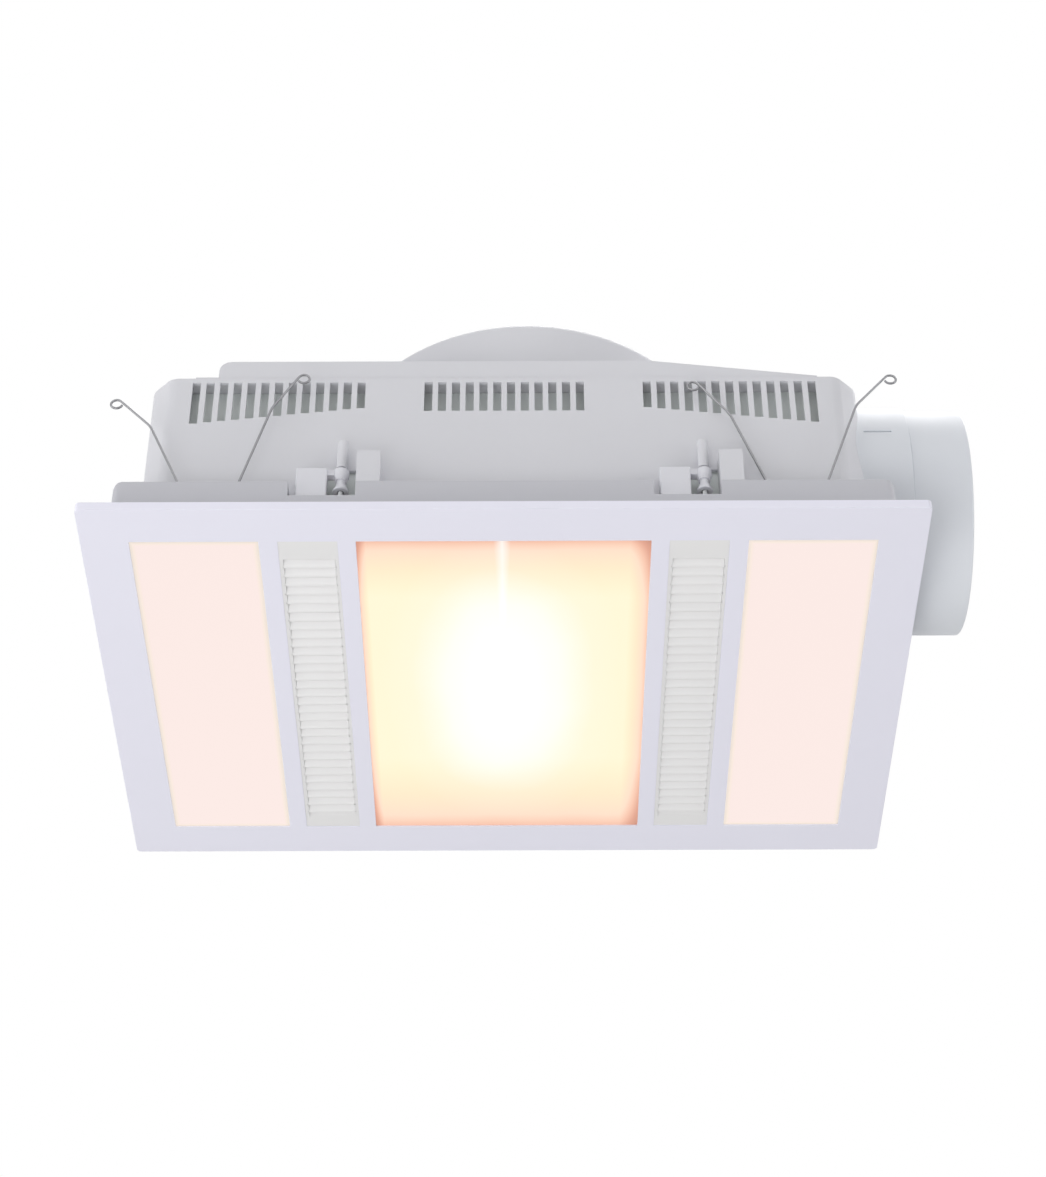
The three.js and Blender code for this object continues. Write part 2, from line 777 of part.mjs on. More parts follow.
function makeAdaptor() {
  const tube = lyingAlongX(adaptorRadius, adaptorStart, adaptorEnd, ductY, ductZ);
  const floor = adaptorStart + adaptorWall;
  const bore = lyingAlongX(adaptorRadius - adaptorWall, floor, adaptorEnd + overCut, ductY, ductZ);
  const mouthStart = adaptorStart - overCut;
  const mouth = block(mouthStart, floor + overCut, outletFront, outletRear, outletBottom, outletTop);
  const angle = THREE.MathUtils.degToRad(snapSlotAngle);
  const slotMiddle = adaptorStart + snapSlotStart + snapSlotLength / 2;
  const slot = new THREE.BoxGeometry(snapSlotLength, snapSlotHeight, snapSlotDepth * 2);
  slot.translate(0, 0, adaptorRadius).rotateX(angle).translate(slotMiddle, ductY, ductZ);
  return cut(tube, bore, mouth, solid(slot));
}

function makeSpigot() {
  const bore = plugRadius - ductWall;
  const length = spigotEnd - plugStart;
  const shoulder = spigotStart - plugStart;
  const profile = [[bore, 0], [plugRadius, 0], [plugRadius, shoulder], [ductRadius, shoulder],
    [ductRadius, length - spigotLipRun], [ductRadius - spigotLipDrop, length - spigotLipRun / 4],
    [ductRadius - spigotLip, length], [bore, length], [bore, 0]];
  return solid(turned(profile, largeRound).rotateZ(-Math.PI / 2).translate(plugStart, ductY, ductZ));
}

// Half disc on its two knuckles; side is -1 for the front flap and 1 for the rear one
function makeFlap(side) {
  const disc = lyingAlongX(flapRadius, flapX - flapThickness / 2, flapX + flapThickness / 2, ductY, ductZ);
  const low = side < 0 ? -flapRadius - overCut : flapStart;
  const high = side < 0 ? -flapStart : flapRadius + overCut;
  let flap = disc.intersect(block(flapX - overCut, flapX + overCut, ductY + low, ductY + high,
    ductZ - flapRadius, ductZ + flapRadius));
  const stagger = side < 0 ? 0 : knuckleStagger;
  const bores = [];
  for (const band of knuckleBands) {
    const start = ductZ + band + stagger;
    const end = start + knuckleLength;
    const tab = [ductY + side * knuckleRadius / 2, ductY + side * (flapStart + overCut)];
    tab.sort((a, b) => a - b);
    const web = block(flapX - flapThickness / 2, flapX + flapThickness / 2, ...tab, start, end);
    const knuckle = upright(knuckleRadius, flapX, ductY, start, end);
    flap = joined(flap, web, knuckle);
    bores.push(upright(flapRodRadius + seatGap, flapX, ductY, start - overCut, end + overCut));
  }
  return cut(flap, ...bores);
}

function makeFlapRod() {
  return upright(flapRodRadius, flapX, ductY, ductZ - flapRadius, ductZ + flapRadius);
}

function makeFlapSpring() {
  const points = [];
  const steps = flapSpringTurns * coilSteps;
  for (let i = 0; i <= steps; i += 1) {
    const angle = (2 * Math.PI * i) / coilSteps;
    const rise = (flapSpringPitch * i) / coilSteps;
    points.push(new THREE.Vector3(flapX + flapSpringRadius * Math.cos(angle),
      ductY + flapSpringRadius * Math.sin(angle), ductZ + flapSpringZ + rise));
  }
  return wire(points, flapSpringWire);
}

// ---- Heat lamp ----

function reflectorOutline(inset) {
  const base = inset ? reflectorBase - overCut : reflectorBase;
  const top = reflectorTop - inset;
  const half = reflectorHalfX - inset;
  const crown = reflectorCrownX - inset / 2;
  const outline = new THREE.Shape();
  outline.moveTo(half, base);
  outline.quadraticCurveTo(half, top * reflectorShoulder, crown, top);
  outline.lineTo(-crown, top);
  outline.quadraticCurveTo(-half, top * reflectorShoulder, -half, base);
  return outline;
}

function makeReflector() {
  const innerHalfY = reflectorHalfY - reflectorWall;
  const outer = prismAlongY(reflectorOutline(0), -reflectorHalfY, reflectorHalfY);
  const inner = prismAlongY(reflectorOutline(reflectorWall), -innerHalfY, innerHalfY);
  return outer.subtract(inner);
}

function makeLamp() {
  const shoulder = lampCap + lampShoulder;
  const roundEnd = lampLength - lampRadius;
  const profile = [
    [0, 0], [lampNeck, 0], [lampNeck, lampCap], [lampNeck + lampFlare, lampCap + lampFlareLength],
    [lampRadius - lampShoulderDrop, shoulder - lampShoulderRun], [lampRadius, shoulder],
    [lampRadius, roundEnd],
  ];
  for (let i = 1; i < lampEndSteps; i += 1) {
    const angle = (Math.PI / 2 / lampEndSteps) * i;
    profile.push([lampRadius * Math.cos(angle), roundEnd + lampRadius * Math.sin(angle)]);
  }
  profile.push([0, lampLength]);
  return solid(turned(profile, smallRound).translate(0, lampStart, lampZ));
}

function makeHolder() {
  const back = reflectorWall + seatGap - reflectorHalfY;
  const front = lampStart + holderDepth;
  const cup = lampStart - seatGap;
  const bore = lampNeck + seatGap;
  const profile = [
    [0, back], [holderRadius, back], [holderRadius, cup], [bore + holderWall, cup],
    [bore + holderWall, front], [bore, front], [bore, cup], [0, cup],
  ];
  return solid(turned(profile, smallRound).translate(0, 0, lampZ));
}

// ---- Electrical box ----

const terminalBack = boxHalfY - shellWall - seatGap;
const terminalFront = terminalBack - terminalDepth;

function terminalBlock(inset, front, back) {
  const halfX = terminalLength / 2 - inset;
  const halfZ = terminalHeight / 2 - inset;
  return block(terminalX - halfX, terminalX + halfX, front, back, terminalZ - halfZ, terminalZ + halfZ);
}

function makeTerminalBox() {
  const wallFront = terminalBack - terminalWall;
  const hollow = terminalBlock(terminalWall, terminalFront - overCut, wallFront);
  const holeEnd = terminalBack + overCut;
  const hole = lyingAlongY(glandRadius + seatGap, wallFront - overCut, holeEnd, terminalX, terminalZ);
  return cut(terminalBlock(0, terminalFront, terminalBack), hollow, hole);
}

function makeTerminalLid() {
  const back = terminalFront - seatGap;
  const cover = terminalBlock(0, back - terminalWall, back);
  const tongue = terminalBlock(terminalWall + seatGap, back - overCut, terminalFront + terminalWall);
  return cover.add(tongue);
}

function makeGland() {
  const start = terminalBack - terminalWall - glandInside;
  const face = boxHalfY + seatGap;
  const nose = face + glandFlangeThickness;
  const end = nose + glandNose;
  const profile = [
    [glandBore, start], [glandRadius, start], [glandRadius, face], [glandFlange, face], [glandFlange, nose],
    [glandRadius, nose], [glandRadius - glandChamfer, end], [glandBore, end], [glandBore, start],
  ];
  return solid(turned(profile, smallRound).translate(terminalX, 0, terminalZ));
}

// ---- Face ----

const grilleMiddle = lensWidth / 2 + innerBar + grilleWidth / 2;
const lightMiddle = lensWidth / 2 + innerBar + grilleWidth + outerBar + lightWidth / 2;
const plateLow = -fasciaHeight;
const plateHigh = plateLow + fasciaPlate;
const rebateFloor = plateHigh - rebateDepth;
const windows = [
  { x: 0, width: lensWidth },
  { x: -grilleMiddle, width: grilleWidth },
  { x: grilleMiddle, width: grilleWidth },
  { x: -lightMiddle, width: lightWidth },
  { x: lightMiddle, width: lightWidth },
];

function windowBlock(window, grow, zLow, zHigh) {
  const halfX = window.width / 2 + grow;
  const halfY = windowLength / 2 + grow;
  return block(window.x - halfX, window.x + halfX, -halfY, halfY, zLow, zHigh);
}

function makeFasciaFrame() {
  const plate = prism(roundedOutline(fasciaHalfX, fasciaHalfY, fasciaCorner), plateLow, 0);
  const recessCorner = flangeCorner + slideGap;
  const recessPlan = roundedOutline(flangeHalfX + slideGap, flangeHalfY + slideGap, recessCorner);
  const recess = prism(recessPlan, plateHigh, overCut);
  const cutters = [recess];
  for (const window of windows) {
    cutters.push(windowBlock(window, 0, plateLow - overCut, plateHigh + overCut));
    cutters.push(windowBlock(window, rebateWidth, rebateFloor, plateHigh + overCut));
  }
  const ribs = [];
  const innerRib = lensWidth / 2 + innerBar / 2;
  const outerRib = lensWidth / 2 + innerBar + grilleWidth + outerBar / 2;
  for (const x of [-outerRib, -innerRib, innerRib, outerRib]) {
    ribs.push(block(x - barRibThickness / 2, x + barRibThickness / 2, -barRibLength / 2, barRibLength / 2,
      plateHigh - overCut, plateHigh + barRibHeight));
  }
  return joined(cut(plate, ...cutters), ...ribs);
}

// Lens or light: its face fills the window and its edge lies on the rebate
function makePanel(window) {
  const faceZ = plateLow + panelSetback;
  const edgeZ = rebateFloor + seatGap;
  const edge = windowBlock(window, rebateWidth - seatGap, edgeZ, plateHigh);
  return windowBlock(window, -seatGap, faceZ, plateHigh).add(edge);
}

// Slab with slanting gaps; what is left between them are the louvres
function makeGrille(window) {
  const edge = windowBlock(window, rebateWidth - seatGap, rebateFloor + seatGap, plateHigh);
  const low = plateLow + panelSetback;
  const face = windowBlock(window, -seatGap, low, grilleTop);
  const halfX = window.width / 2 - grilleSideBand;
  const lean = louvreRun / (grilleTop - low);
  const gap = louvrePitch - louvreThickness;
  const span = windowLength - 2 * grilleEndBand;
  const count = Math.floor((span - louvreRun) / louvrePitch);
  const first = (louvreRun + louvreThickness - count * louvrePitch) / 2;
  const under = low - overCut;
  const over = grilleTop + overCut;
  const gaps = [];
  for (let i = 0; i < count; i += 1) {
    const y = first + i * louvrePitch;
    const yUnder = y + lean * overCut;
    const yOver = y - louvreRun - lean * overCut;
    const section = polygon([[yUnder, under], [yUnder + gap, under], [yOver + gap, over], [yOver, over]]);
    gaps.push(prismAlongX(section, window.x - halfX, window.x + halfX));
  }
  return cut(face.add(edge), ...gaps);
}

const trayBase = plateHigh + seatGap;

function makeTray(window) {
  const halfX = window.width / 2 + rebateWidth - seatGap;
  const outer = block(window.x - halfX, window.x + halfX, -trayHalfY, trayHalfY, trayBase, trayTop);
  const inner = block(window.x - halfX + trayWall, window.x + halfX - trayWall, trayWall - trayHalfY,
    trayHalfY - trayWall, trayBase - overCut, trayTop - trayWall);
  return outer.subtract(inner);
}

function makeBoard(window) {
  const halfX = window.width / 2 - boardGap;
  const top = trayTop - trayWall - seatGap;
  const halfY = trayHalfY - trayWall - boardGap;
  return block(window.x - halfX, window.x + halfX, -halfY, halfY, top - boardThickness, top);
}

// ---- V springs ----

// Angle of a leg below the ledge, from vertical, and where it leaves the coil
const rootRise = collarHeight - coilZ;
const rootReach = Math.hypot(legLedgeX, rootRise);
const rootAngle = Math.atan2(legLedgeX, rootRise) - Math.asin(coilRadius / rootReach);
const wrap = 2 * Math.PI * coilTurns + Math.PI - 2 * rootAngle;
const coilHalf = (coilPitch * wrap) / (2 * Math.PI) / 2;

function coilPoint(angle, depth) {
  return new THREE.Vector3(coilRadius * Math.cos(angle), depth, coilZ + coilRadius * Math.sin(angle));
}

function tangentPoint(side, along) {
  const x = coilRadius * Math.cos(rootAngle) + along * Math.sin(rootAngle);
  const z = coilZ - coilRadius * Math.sin(rootAngle) + along * Math.cos(rootAngle);
  return new THREE.Vector3(side * x, -side * coilHalf, z);
}

function makeCoil() {
  const steps = Math.ceil((wrap / (2 * Math.PI)) * coilSteps);
  const start = Math.PI + rootAngle;
  const points = [tangentPoint(-1, wireDiameter)];
  for (let i = 0; i <= steps; i += 1) {
    const share = i / steps;
    points.push(coilPoint(start + wrap * share, THREE.MathUtils.lerp(coilHalf, -coilHalf, share)));
  }
  points.push(tangentPoint(1, wireDiameter));
  return wire(points, wireDiameter);
}

// side is -1 for the leg that leans to -X and 1 for the other
function makeLeg(side) {
  const depth = -side * coilHalf;
  const { kinkX, kinkZ, loopX, loopZ } = side < 0 ? leftLeg : rightLeg;
  const points = [tangentPoint(side, legFromCoil)];
  points.push(new THREE.Vector3(side * legLedgeX, depth, collarHeight));
  points.push(new THREE.Vector3(side * kinkX, depth, kinkZ));
  const toLoop = Math.hypot(loopX - kinkX, loopZ - kinkZ);
  const heading = Math.atan2(loopZ - kinkZ, loopX - kinkX) + Math.asin(loopRadius / toLoop);
  for (let i = 0; i <= loopSteps; i += 1) {
    const angle = heading + Math.PI / 2 - THREE.MathUtils.degToRad((loopSweep * i) / loopSteps);
    const x = loopX + loopRadius * Math.cos(angle);
    points.push(new THREE.Vector3(side * x, depth, loopZ + loopRadius * Math.sin(angle)));
  }
  return wire(points, wireDiameter);
}

function makeBracket() {
  const inner = coilHalf + wireDiameter / 2 + earGap;
  const outer = inner + earThickness;
  const foot = plateHigh + seatGap;
  const base = block(-bracketHalfX, bracketHalfX, -outer, outer, foot, foot + bracketBase);
  const pin = lyingAlongY(coilRadius - wireDiameter / 2 - seatGap, -outer, outer, 0, coilZ);
  const ears = [];
  for (const low of [-outer, inner]) {
    const plate = block(-earHalfX, earHalfX, low, low + earThickness, foot, coilZ);
    ears.push(plate, lyingAlongY(earHalfX, low, low + earThickness, 0, coilZ));
  }
  return joined(base, pin, ...ears);
}

// ---- Clamps ----

function makeScrew() {
  const shoulder = bayBottom - seatGap;
  const head = shoulder - screwHead;
  const top = guideTop + screwTip;
  const profile = [
    [0, head], [screwHeadRadius - screwHeadChamfer, head], [screwHeadRadius, head + screwHeadChamfer],
    [screwHeadRadius, shoulder], [screwRadius, shoulder], [screwRadius, top - screwTip],
    [screwPoint, top], [0, top],
  ];
  return turnedUpright(profile, 0, 0);
}

const hubBottom = armTop - hubHeight;
const sleeveBore = screwRadius + seatGap;
const sleeveOuter = sleeveBore + sleeveWall;

function makeSleeve() {
  const low = armTop - sleeveLength;
  const high = armTop + overCut;
  const cone = low + sleeveFlange;
  const ringHigh = hubBottom - seatGap;
  const ringLow = ringHigh - sleeveShoulder;
  const profile = [
    [sleeveBore, low], [sleeveFlangeRadius, low], [sleeveFlangeRadius, cone],
    [sleeveOuter, cone + sleeveCone], [sleeveOuter, ringLow], [hubFoot, ringLow], [hubFoot, ringHigh],
    [sleeveOuter, ringHigh],
    [sleeveOuter, high], [sleeveBore, high], [sleeveBore, low],
  ];
  return turnedUpright(profile, 0, 0);
}

// Arm at rest, its pad along -X of the pivot
function makeArm() {
  const bore = sleeveOuter + seatGap;
  const neckBottom = armTop - neckHeight;
  const profile = [
    [bore, hubBottom], [hubFoot, hubBottom], [hubRadius, neckBottom], [hubRadius, armTop],
    [bore, armTop], [bore, hubBottom],
  ];
  const hub = turnedUpright(profile, 0, 0);
  const neck = cut(block(-padStart - overCut, 0, -neckHalfY, neckHalfY, neckBottom, armTop),
    upright((bore + hubRadius) / 2, 0, 0, neckBottom - overCut, armTop + overCut));
  const outline = roundedOutline(padLength / 2, (padBack - padFront) / 2, padCorner);
  const padMiddle = (padBack + padFront) / 2 - clampY;
  const pad = moved(prism(outline, padBottom, armTop), -padStart - padLength / 2, padMiddle, 0);
  return joined(hub, neck, pad);
}

// ---- The unit ----

const shell = makeShell();
add('ceiling_flange', makeFlange(), housingPlastic);
add('collar', layer(shell, collarFoot, collarHeight), housingPlastic);
add('housing', layer(shell, collarHeight + seatGap, boxHeight), housingPlastic);
add('top_cover', makeLid(), housingPlastic);
add('motor_drum', makeDrum(), housingPlastic);
add('fan_scroll', makeScroll(), housingPlastic);
add('motor_plate', makeMotorPlate(), zincSteel);
add('motor_case', makeMotor(), zincSteel);
add('fan_wheel', makeWheel(), wheelPlastic);
add('motor_shaft', makeShaft(), zincSteel);

add('duct_adaptor', makeAdaptor(), ductPlastic);
add('duct_spigot', makeSpigot(), ductPlastic);
add('flap_rod', makeFlapRod(), zincSteel);
add('flap_spring', makeFlapSpring(), springWire);
add('flap_front', makeFlap(-1), ductPlastic);
add('flap_rear', makeFlap(1), ductPlastic);

add('reflector', makeReflector(), aluminium);
add('heat_lamp', makeLamp(), lampGlass);
add('lamp_holder', makeHolder(), ceramic);
add('terminal_box', makeTerminalBox(), darkPlastic);
add('terminal_lid', makeTerminalLid(), darkPlastic);
add('cable_gland', makeGland(), darkPlastic);

const [lensWindow, leftGrille, rightGrille, leftLight, rightLight] = windows;
add('fascia_frame', makeFasciaFrame(), fasciaPlastic);
add('heat_lens', makePanel(lensWindow), lensGlass);
for (const [side, grille, light] of [['left', leftGrille, leftLight], ['right', rightGrille, rightLight]]) {
  add(`grille_${side}`, makeGrille(grille), grillePlastic);
  add(`light_diffuser_${side}`, makePanel(light), lightDiffuser);
  add(`light_tray_${side}`, makeTray(light), aluminium);
  add(`light_board_${side}`, makeBoard(light), circuitBoard);
}

for (const [row, y] of [['front', -springY], ['rear', springY]]) {
  for (const [end, x] of [['left', -springX], ['right', springX]]) {
    const outward = Math.sign(x);
    add(`spring_bracket_${row}_${end}`, moved(makeBracket(), x, y, 0), fasciaPlastic);
    add(`spring_coil_${row}_${end}`, moved(makeCoil(), x, y, 0), springWire);
    add(`spring_leg_${row}_${end}_outer`, moved(makeLeg(outward), x, y, 0), springWire);
    add(`spring_leg_${row}_${end}_inner`, moved(makeLeg(-outward), x, y, 0), springWire);
  }
}

for (const [row, half] of [['front', (piece) => piece], ['rear', turnedRound]]) {
  clampX.forEach((x, index) => {
    const label = `${row}_${index + 1}`;
    add(`clamp_screw_${label}`, half(moved(makeScrew(), x, clampY, 0)), zincSteel);
    add(`clamp_sleeve_${label}`, half(moved(makeSleeve(), x, clampY, 0)), clampPlastic);
    add(`clamp_arm_${label}`, half(moved(makeArm(), x, clampY, 0)), clampPlastic);
  });
}

export default unit;
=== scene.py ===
import json
import math
import bpy
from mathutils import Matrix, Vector

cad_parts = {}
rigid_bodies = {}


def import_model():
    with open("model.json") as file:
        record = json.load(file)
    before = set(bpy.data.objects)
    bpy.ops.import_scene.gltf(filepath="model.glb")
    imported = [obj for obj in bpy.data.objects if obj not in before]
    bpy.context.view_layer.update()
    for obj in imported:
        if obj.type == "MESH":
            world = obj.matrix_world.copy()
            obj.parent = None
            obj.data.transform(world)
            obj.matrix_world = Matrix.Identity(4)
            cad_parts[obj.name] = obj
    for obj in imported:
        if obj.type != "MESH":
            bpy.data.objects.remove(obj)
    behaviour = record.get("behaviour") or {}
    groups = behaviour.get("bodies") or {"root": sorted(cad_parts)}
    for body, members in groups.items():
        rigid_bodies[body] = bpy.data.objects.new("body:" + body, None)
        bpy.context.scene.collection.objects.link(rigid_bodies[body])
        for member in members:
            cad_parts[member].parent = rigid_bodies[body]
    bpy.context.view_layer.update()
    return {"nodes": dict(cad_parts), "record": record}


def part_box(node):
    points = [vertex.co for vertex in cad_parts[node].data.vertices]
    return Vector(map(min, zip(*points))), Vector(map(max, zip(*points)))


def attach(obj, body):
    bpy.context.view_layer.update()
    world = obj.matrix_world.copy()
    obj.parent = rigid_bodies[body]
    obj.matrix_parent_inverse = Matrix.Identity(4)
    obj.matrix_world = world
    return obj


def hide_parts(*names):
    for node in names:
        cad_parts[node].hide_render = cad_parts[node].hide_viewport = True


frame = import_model()
print("frame loaded:", len(frame["nodes"]), "nodes")

# the photograph's viewpoint, below and in front of the unit
view = {"place": (0.012, -1.431, -1.1485), "pitch": 130.76, "roll": -0.18, "lens": 83.93,
        "sensor": 36}
bpy.ops.object.camera_add(location=view["place"])
camera = bpy.context.object
camera.name = "photoCamera"
camera.rotation_mode = "ZYX"  # the roll turns about the line of sight
camera.rotation_euler = (math.radians(view["pitch"]), 0, math.radians(view["roll"]))
camera.data.lens = view["lens"]
camera.data.sensor_width = view["sensor"]
bpy.context.scene.camera = camera
bpy.context.scene.view_settings.view_transform = "Standard"

black, white = (0, 0, 0, 1), (1, 1, 1, 1)
litShade = 0.96  # how far the paint of a lit face goes towards black


def pick(sizes, *keys):
    return [sizes[key] for key in keys]


def linear(code):
    # colour as it looks on a screen, in the numbers that the shader takes
    parts = [int(code[at:at + 2], 16) / 255 for at in (1, 3, 5)]
    return (*[part / 12.92 if part < 0.04045 else ((part + 0.055) / 1.055) ** 2.4
              for part in parts], 1)


def shade(code, factor):
    return tuple(min(part * factor, 1) for part in linear(code)[:3]) + (1,)


def bothWays(operation):
    # an operator and its reflected form
    return [lambda self, other: self.maths(operation, self, other),
            lambda self, other: self.maths(operation, other, self)]


class Signal:
    # one socket; arithmetic on it adds Math nodes to its tree
    def __init__(self, nodes, socket):
        self.nodes = nodes
        self.socket = socket

    def maths(self, operation, *values):
        return self.nodes.node("ShaderNodeMath", {"operation": operation}, dict(enumerate(values)))

    __add__, __radd__ = bothWays("ADD")
    __sub__, __rsub__ = bothWays("SUBTRACT")
    __mul__, __rmul__ = bothWays("MULTIPLY")
    __truediv__, __rtruediv__ = bothWays("DIVIDE")
    __pow__, __rpow__ = bothWays("POWER")
    def __abs__(self): return self.maths("ABSOLUTE", self)
    def above(self, other): return self.maths("MAXIMUM", self, other)
    def below(self, other): return self.maths("MINIMUM", self, other)
    def under(self, limit): return self.maths("LESS_THAN", self, limit)
    def fraction(self): return self.maths("FRACT", self)


def putStops(ramp, stops):
    while len(ramp.elements) < len(stops):
        ramp.elements.new(1)
    for element, (place, colour) in zip(ramp.elements, stops):
        element.position = place
        element.color = colour


class Nodes:
    # a node tree, and the one way to add a node to it
    def __init__(self, tree):
        self.tree = tree

    def node(self, kind, settings=None, values=None, output=0):
        made = self.tree.nodes.new(kind)
        for key, value in (settings or {}).items():
            if key == "stops":
                putStops(made.color_ramp, value)
            else:
                setattr(made, key, value)
        for key, value in (values or {}).items():
            if isinstance(value, Signal):
                self.tree.links.new(value.socket, made.inputs[key])
            else:
                made.inputs[key].default_value = value
        return Signal(self, made.outputs[output]) if made.outputs else None

    def looking(self):
        # 1 for the rays of the camera, of mirrors and of glass, which all show the background
        cameraRay, glossyRay, glassRay = [
            self.node("ShaderNodeLightPath", output=name)
            for name in ("Is Camera Ray", "Is Glossy Ray", "Is Transmission Ray")]
        return cameraRay.above(glossyRay).above(glassRay)


class Finish(Nodes):
    # a material with its principled shader
    def __init__(self, name, **sockets):
        self.material = bpy.data.materials.new(name)
        self.material.use_nodes = True
        super().__init__(self.material.node_tree)
        self.shader = self.tree.nodes["Principled BSDF"]
        for key, value in sockets.items():
            self.shader.inputs[key.replace("_", " ")].default_value = value

    def place(self):
        return self.node("ShaderNodeTexCoord", output="Object")

    def axes(self):
        place = self.place()
        return [self.node("ShaderNodeSeparateXYZ", None, {0: place}, output=axis)
                for axis in "XYZ"]

    def stretched(self, scale):
        return self.node("ShaderNodeMapping", None, {0: self.place(), "Scale": scale})

    def noise(self, scale, detail=2, place=None, roughness=0.5):
        values = {"Vector": place or self.place(), "Scale": scale, "Detail": detail,
                  "Roughness": roughness}
        return self.node("ShaderNodeTexNoise", None, values)

    def ramp(self, factor, stops):
        return self.node("ShaderNodeValToRGB", {"stops": stops}, {0: factor})

    def blend(self, factor, first, second):
        values = {0: factor, 6: first, 7: second}
        return self.node("ShaderNodeMix", {"data_type": "RGBA"}, values, output=2)

    def feed(self, socket, signal):
        self.tree.links.new(signal.socket, self.shader.inputs[socket])

    def relief(self, height, strength, distance):
        values = {"Height": height, "Strength": strength, "Distance": distance}
        self.feed("Normal", self.node("ShaderNodeBump", None, values))

    def shine(self, glow):
        # a lit face gives off its colour and keeps only a trace of it as paint
        self.feed("Emission Color", glow)
        self.feed("Base Color", self.blend(litShade, glow, black))

    def metal(self, sizes, code, tone, roughness, gloss, height):
        # what the metals share: colour by tone, sheen by gloss, relief by height
        duller, paler = shade(code, sizes["duller"]), shade(code, sizes["paler"])
        self.feed("Base Color", self.blend(tone, duller, paler))
        self.feed("Roughness", roughness - sizes["gloss"] / 2 + gloss * sizes["gloss"])
        self.relief(height, sizes["relief"], sizes["depth"])
        return self.material


moulding = {"cloud": 16, "grain": 1500, "flow": 60, "flowStretch": (1, 1, 0.15), "dust": 320,
            "dustRoughness": 0.7, "dustFloor": 0.56, "dustShare": 0.5, "cloudShare": 0.6,
            "flowShare": 0.4, "flowGloss": 0.1, "cloudRelief": 0.4, "depth": 0.0002,
            "coatRoughness": 0.25}


def mouldedPlastic(name, code, roughness, grain, mottle=0.03, coat=0.0):
    # slow clouding in the colour, a fine sparked texture, faint flow marks, a little dust
    finish = Finish(name, Coat_Weight=coat, Coat_Roughness=moulding["coatRoughness"])
    cloud = finish.noise(moulding["cloud"], 3)
    fine = finish.noise(moulding["grain"], 2)
    flow = finish.noise(moulding["flow"], 2, finish.stretched(moulding["flowStretch"]))
    specks = finish.noise(moulding["dust"], 4, roughness=moulding["dustRoughness"])
    dust = (specks - moulding["dustFloor"]).above(0) * moulding["dustShare"]
    tone = cloud * moulding["cloudShare"] + flow * moulding["flowShare"] - dust
    paler, duller = shade(code, 1 + mottle), shade(code, 1 - mottle)
    finish.feed("Base Color", finish.blend(tone, duller, paler))
    gloss = moulding["flowGloss"]
    finish.feed("Roughness", roughness - gloss / 2 + flow * gloss + dust)
    finish.relief(fine + cloud * moulding["cloudRelief"], grain, moulding["depth"])
    return finish.material


sheet = {"lines": 40, "stain": 35, "duller": 0.9, "paler": 1.06, "gloss": 0.16, "relief": 0.12,
         "depth": 0.0001}


def metalSurface(name, code, roughness, scale):
    # rolled or drawn metal: fine lines one way, faint stains
    finish = Finish(name, Metallic=1.0)
    lines = finish.noise(sheet["lines"], 4, finish.stretched(scale))
    stain = finish.noise(sheet["stain"], 3)
    return finish.metal(sheet, code, stain, roughness, lines, lines)


plating = {"crystals": 900, "stain": 45, "crystalShare": 0.5, "stainShare": 0.6, "duller": 0.85,
           "paler": 1.1, "gloss": 0.2, "relief": 0.08, "depth": 0.0001}


def zincPlate(name, code, roughness):
    # plated steel: small bright crystals in slow stains
    finish = Finish(name, Metallic=1.0)
    values = {"Vector": finish.place(), "Scale": plating["crystals"]}
    crystals = finish.node("ShaderNodeTexVoronoi", None, values)
    stain = finish.noise(plating["stain"], 3)
    tone = crystals * plating["crystalShare"] + stain * plating["stainShare"]
    return finish.metal(plating, code, tone, roughness, stain, crystals)


glaze = {"coat": 0.4, "coatRoughness": 0.1, "specks": 700, "speckEnds": (0.3, 0.6),
         "duller": 0.9, "cloud": 50, "roughness": 0.3, "gloss": 0.2}


def glazedCeramic(name, code):
    # fine specks under an uneven glaze
    finish = Finish(name, Coat_Weight=glaze["coat"], Coat_Roughness=glaze["coatRoughness"])
    stops = zip(glaze["speckEnds"], (shade(code, glaze["duller"]), linear(code)))
    finish.feed("Base Color", finish.ramp(finish.noise(glaze["specks"]), list(stops)))
    finish.feed("Roughness", glaze["roughness"] + finish.noise(glaze["cloud"]) * glaze["gloss"])
    return finish.material


boardChips = {"pitch": 0.012, "chip": 0.0016, "board": "#e9ece8", "phosphor": "#f2d24a",
              "glow": "#fff2dc", "cloud": 30, "duller": 0.96}


def ledBoard(name, sizes):
    # white board with rows of small yellow light chips
    finish = Finish(name, Roughness=0.4, Emission_Strength=1.0)
    x, y, _ = finish.axes()
    pitch, board = pick(sizes, "pitch", "board")
    acrossX, alongY = [abs((axis / pitch).fraction() - 0.5) * pitch for axis in (x, y)]
    chip = acrossX.above(alongY).under(sizes["chip"])
    tone = finish.blend(finish.noise(sizes["cloud"]), shade(board, sizes["duller"]),
                        linear(board))
    finish.feed("Base Color", finish.blend(chip, tone, linear(sizes["phosphor"])))
    finish.feed("Emission Color", finish.blend(chip, black, linear(sizes["glow"])))
    return finish.material


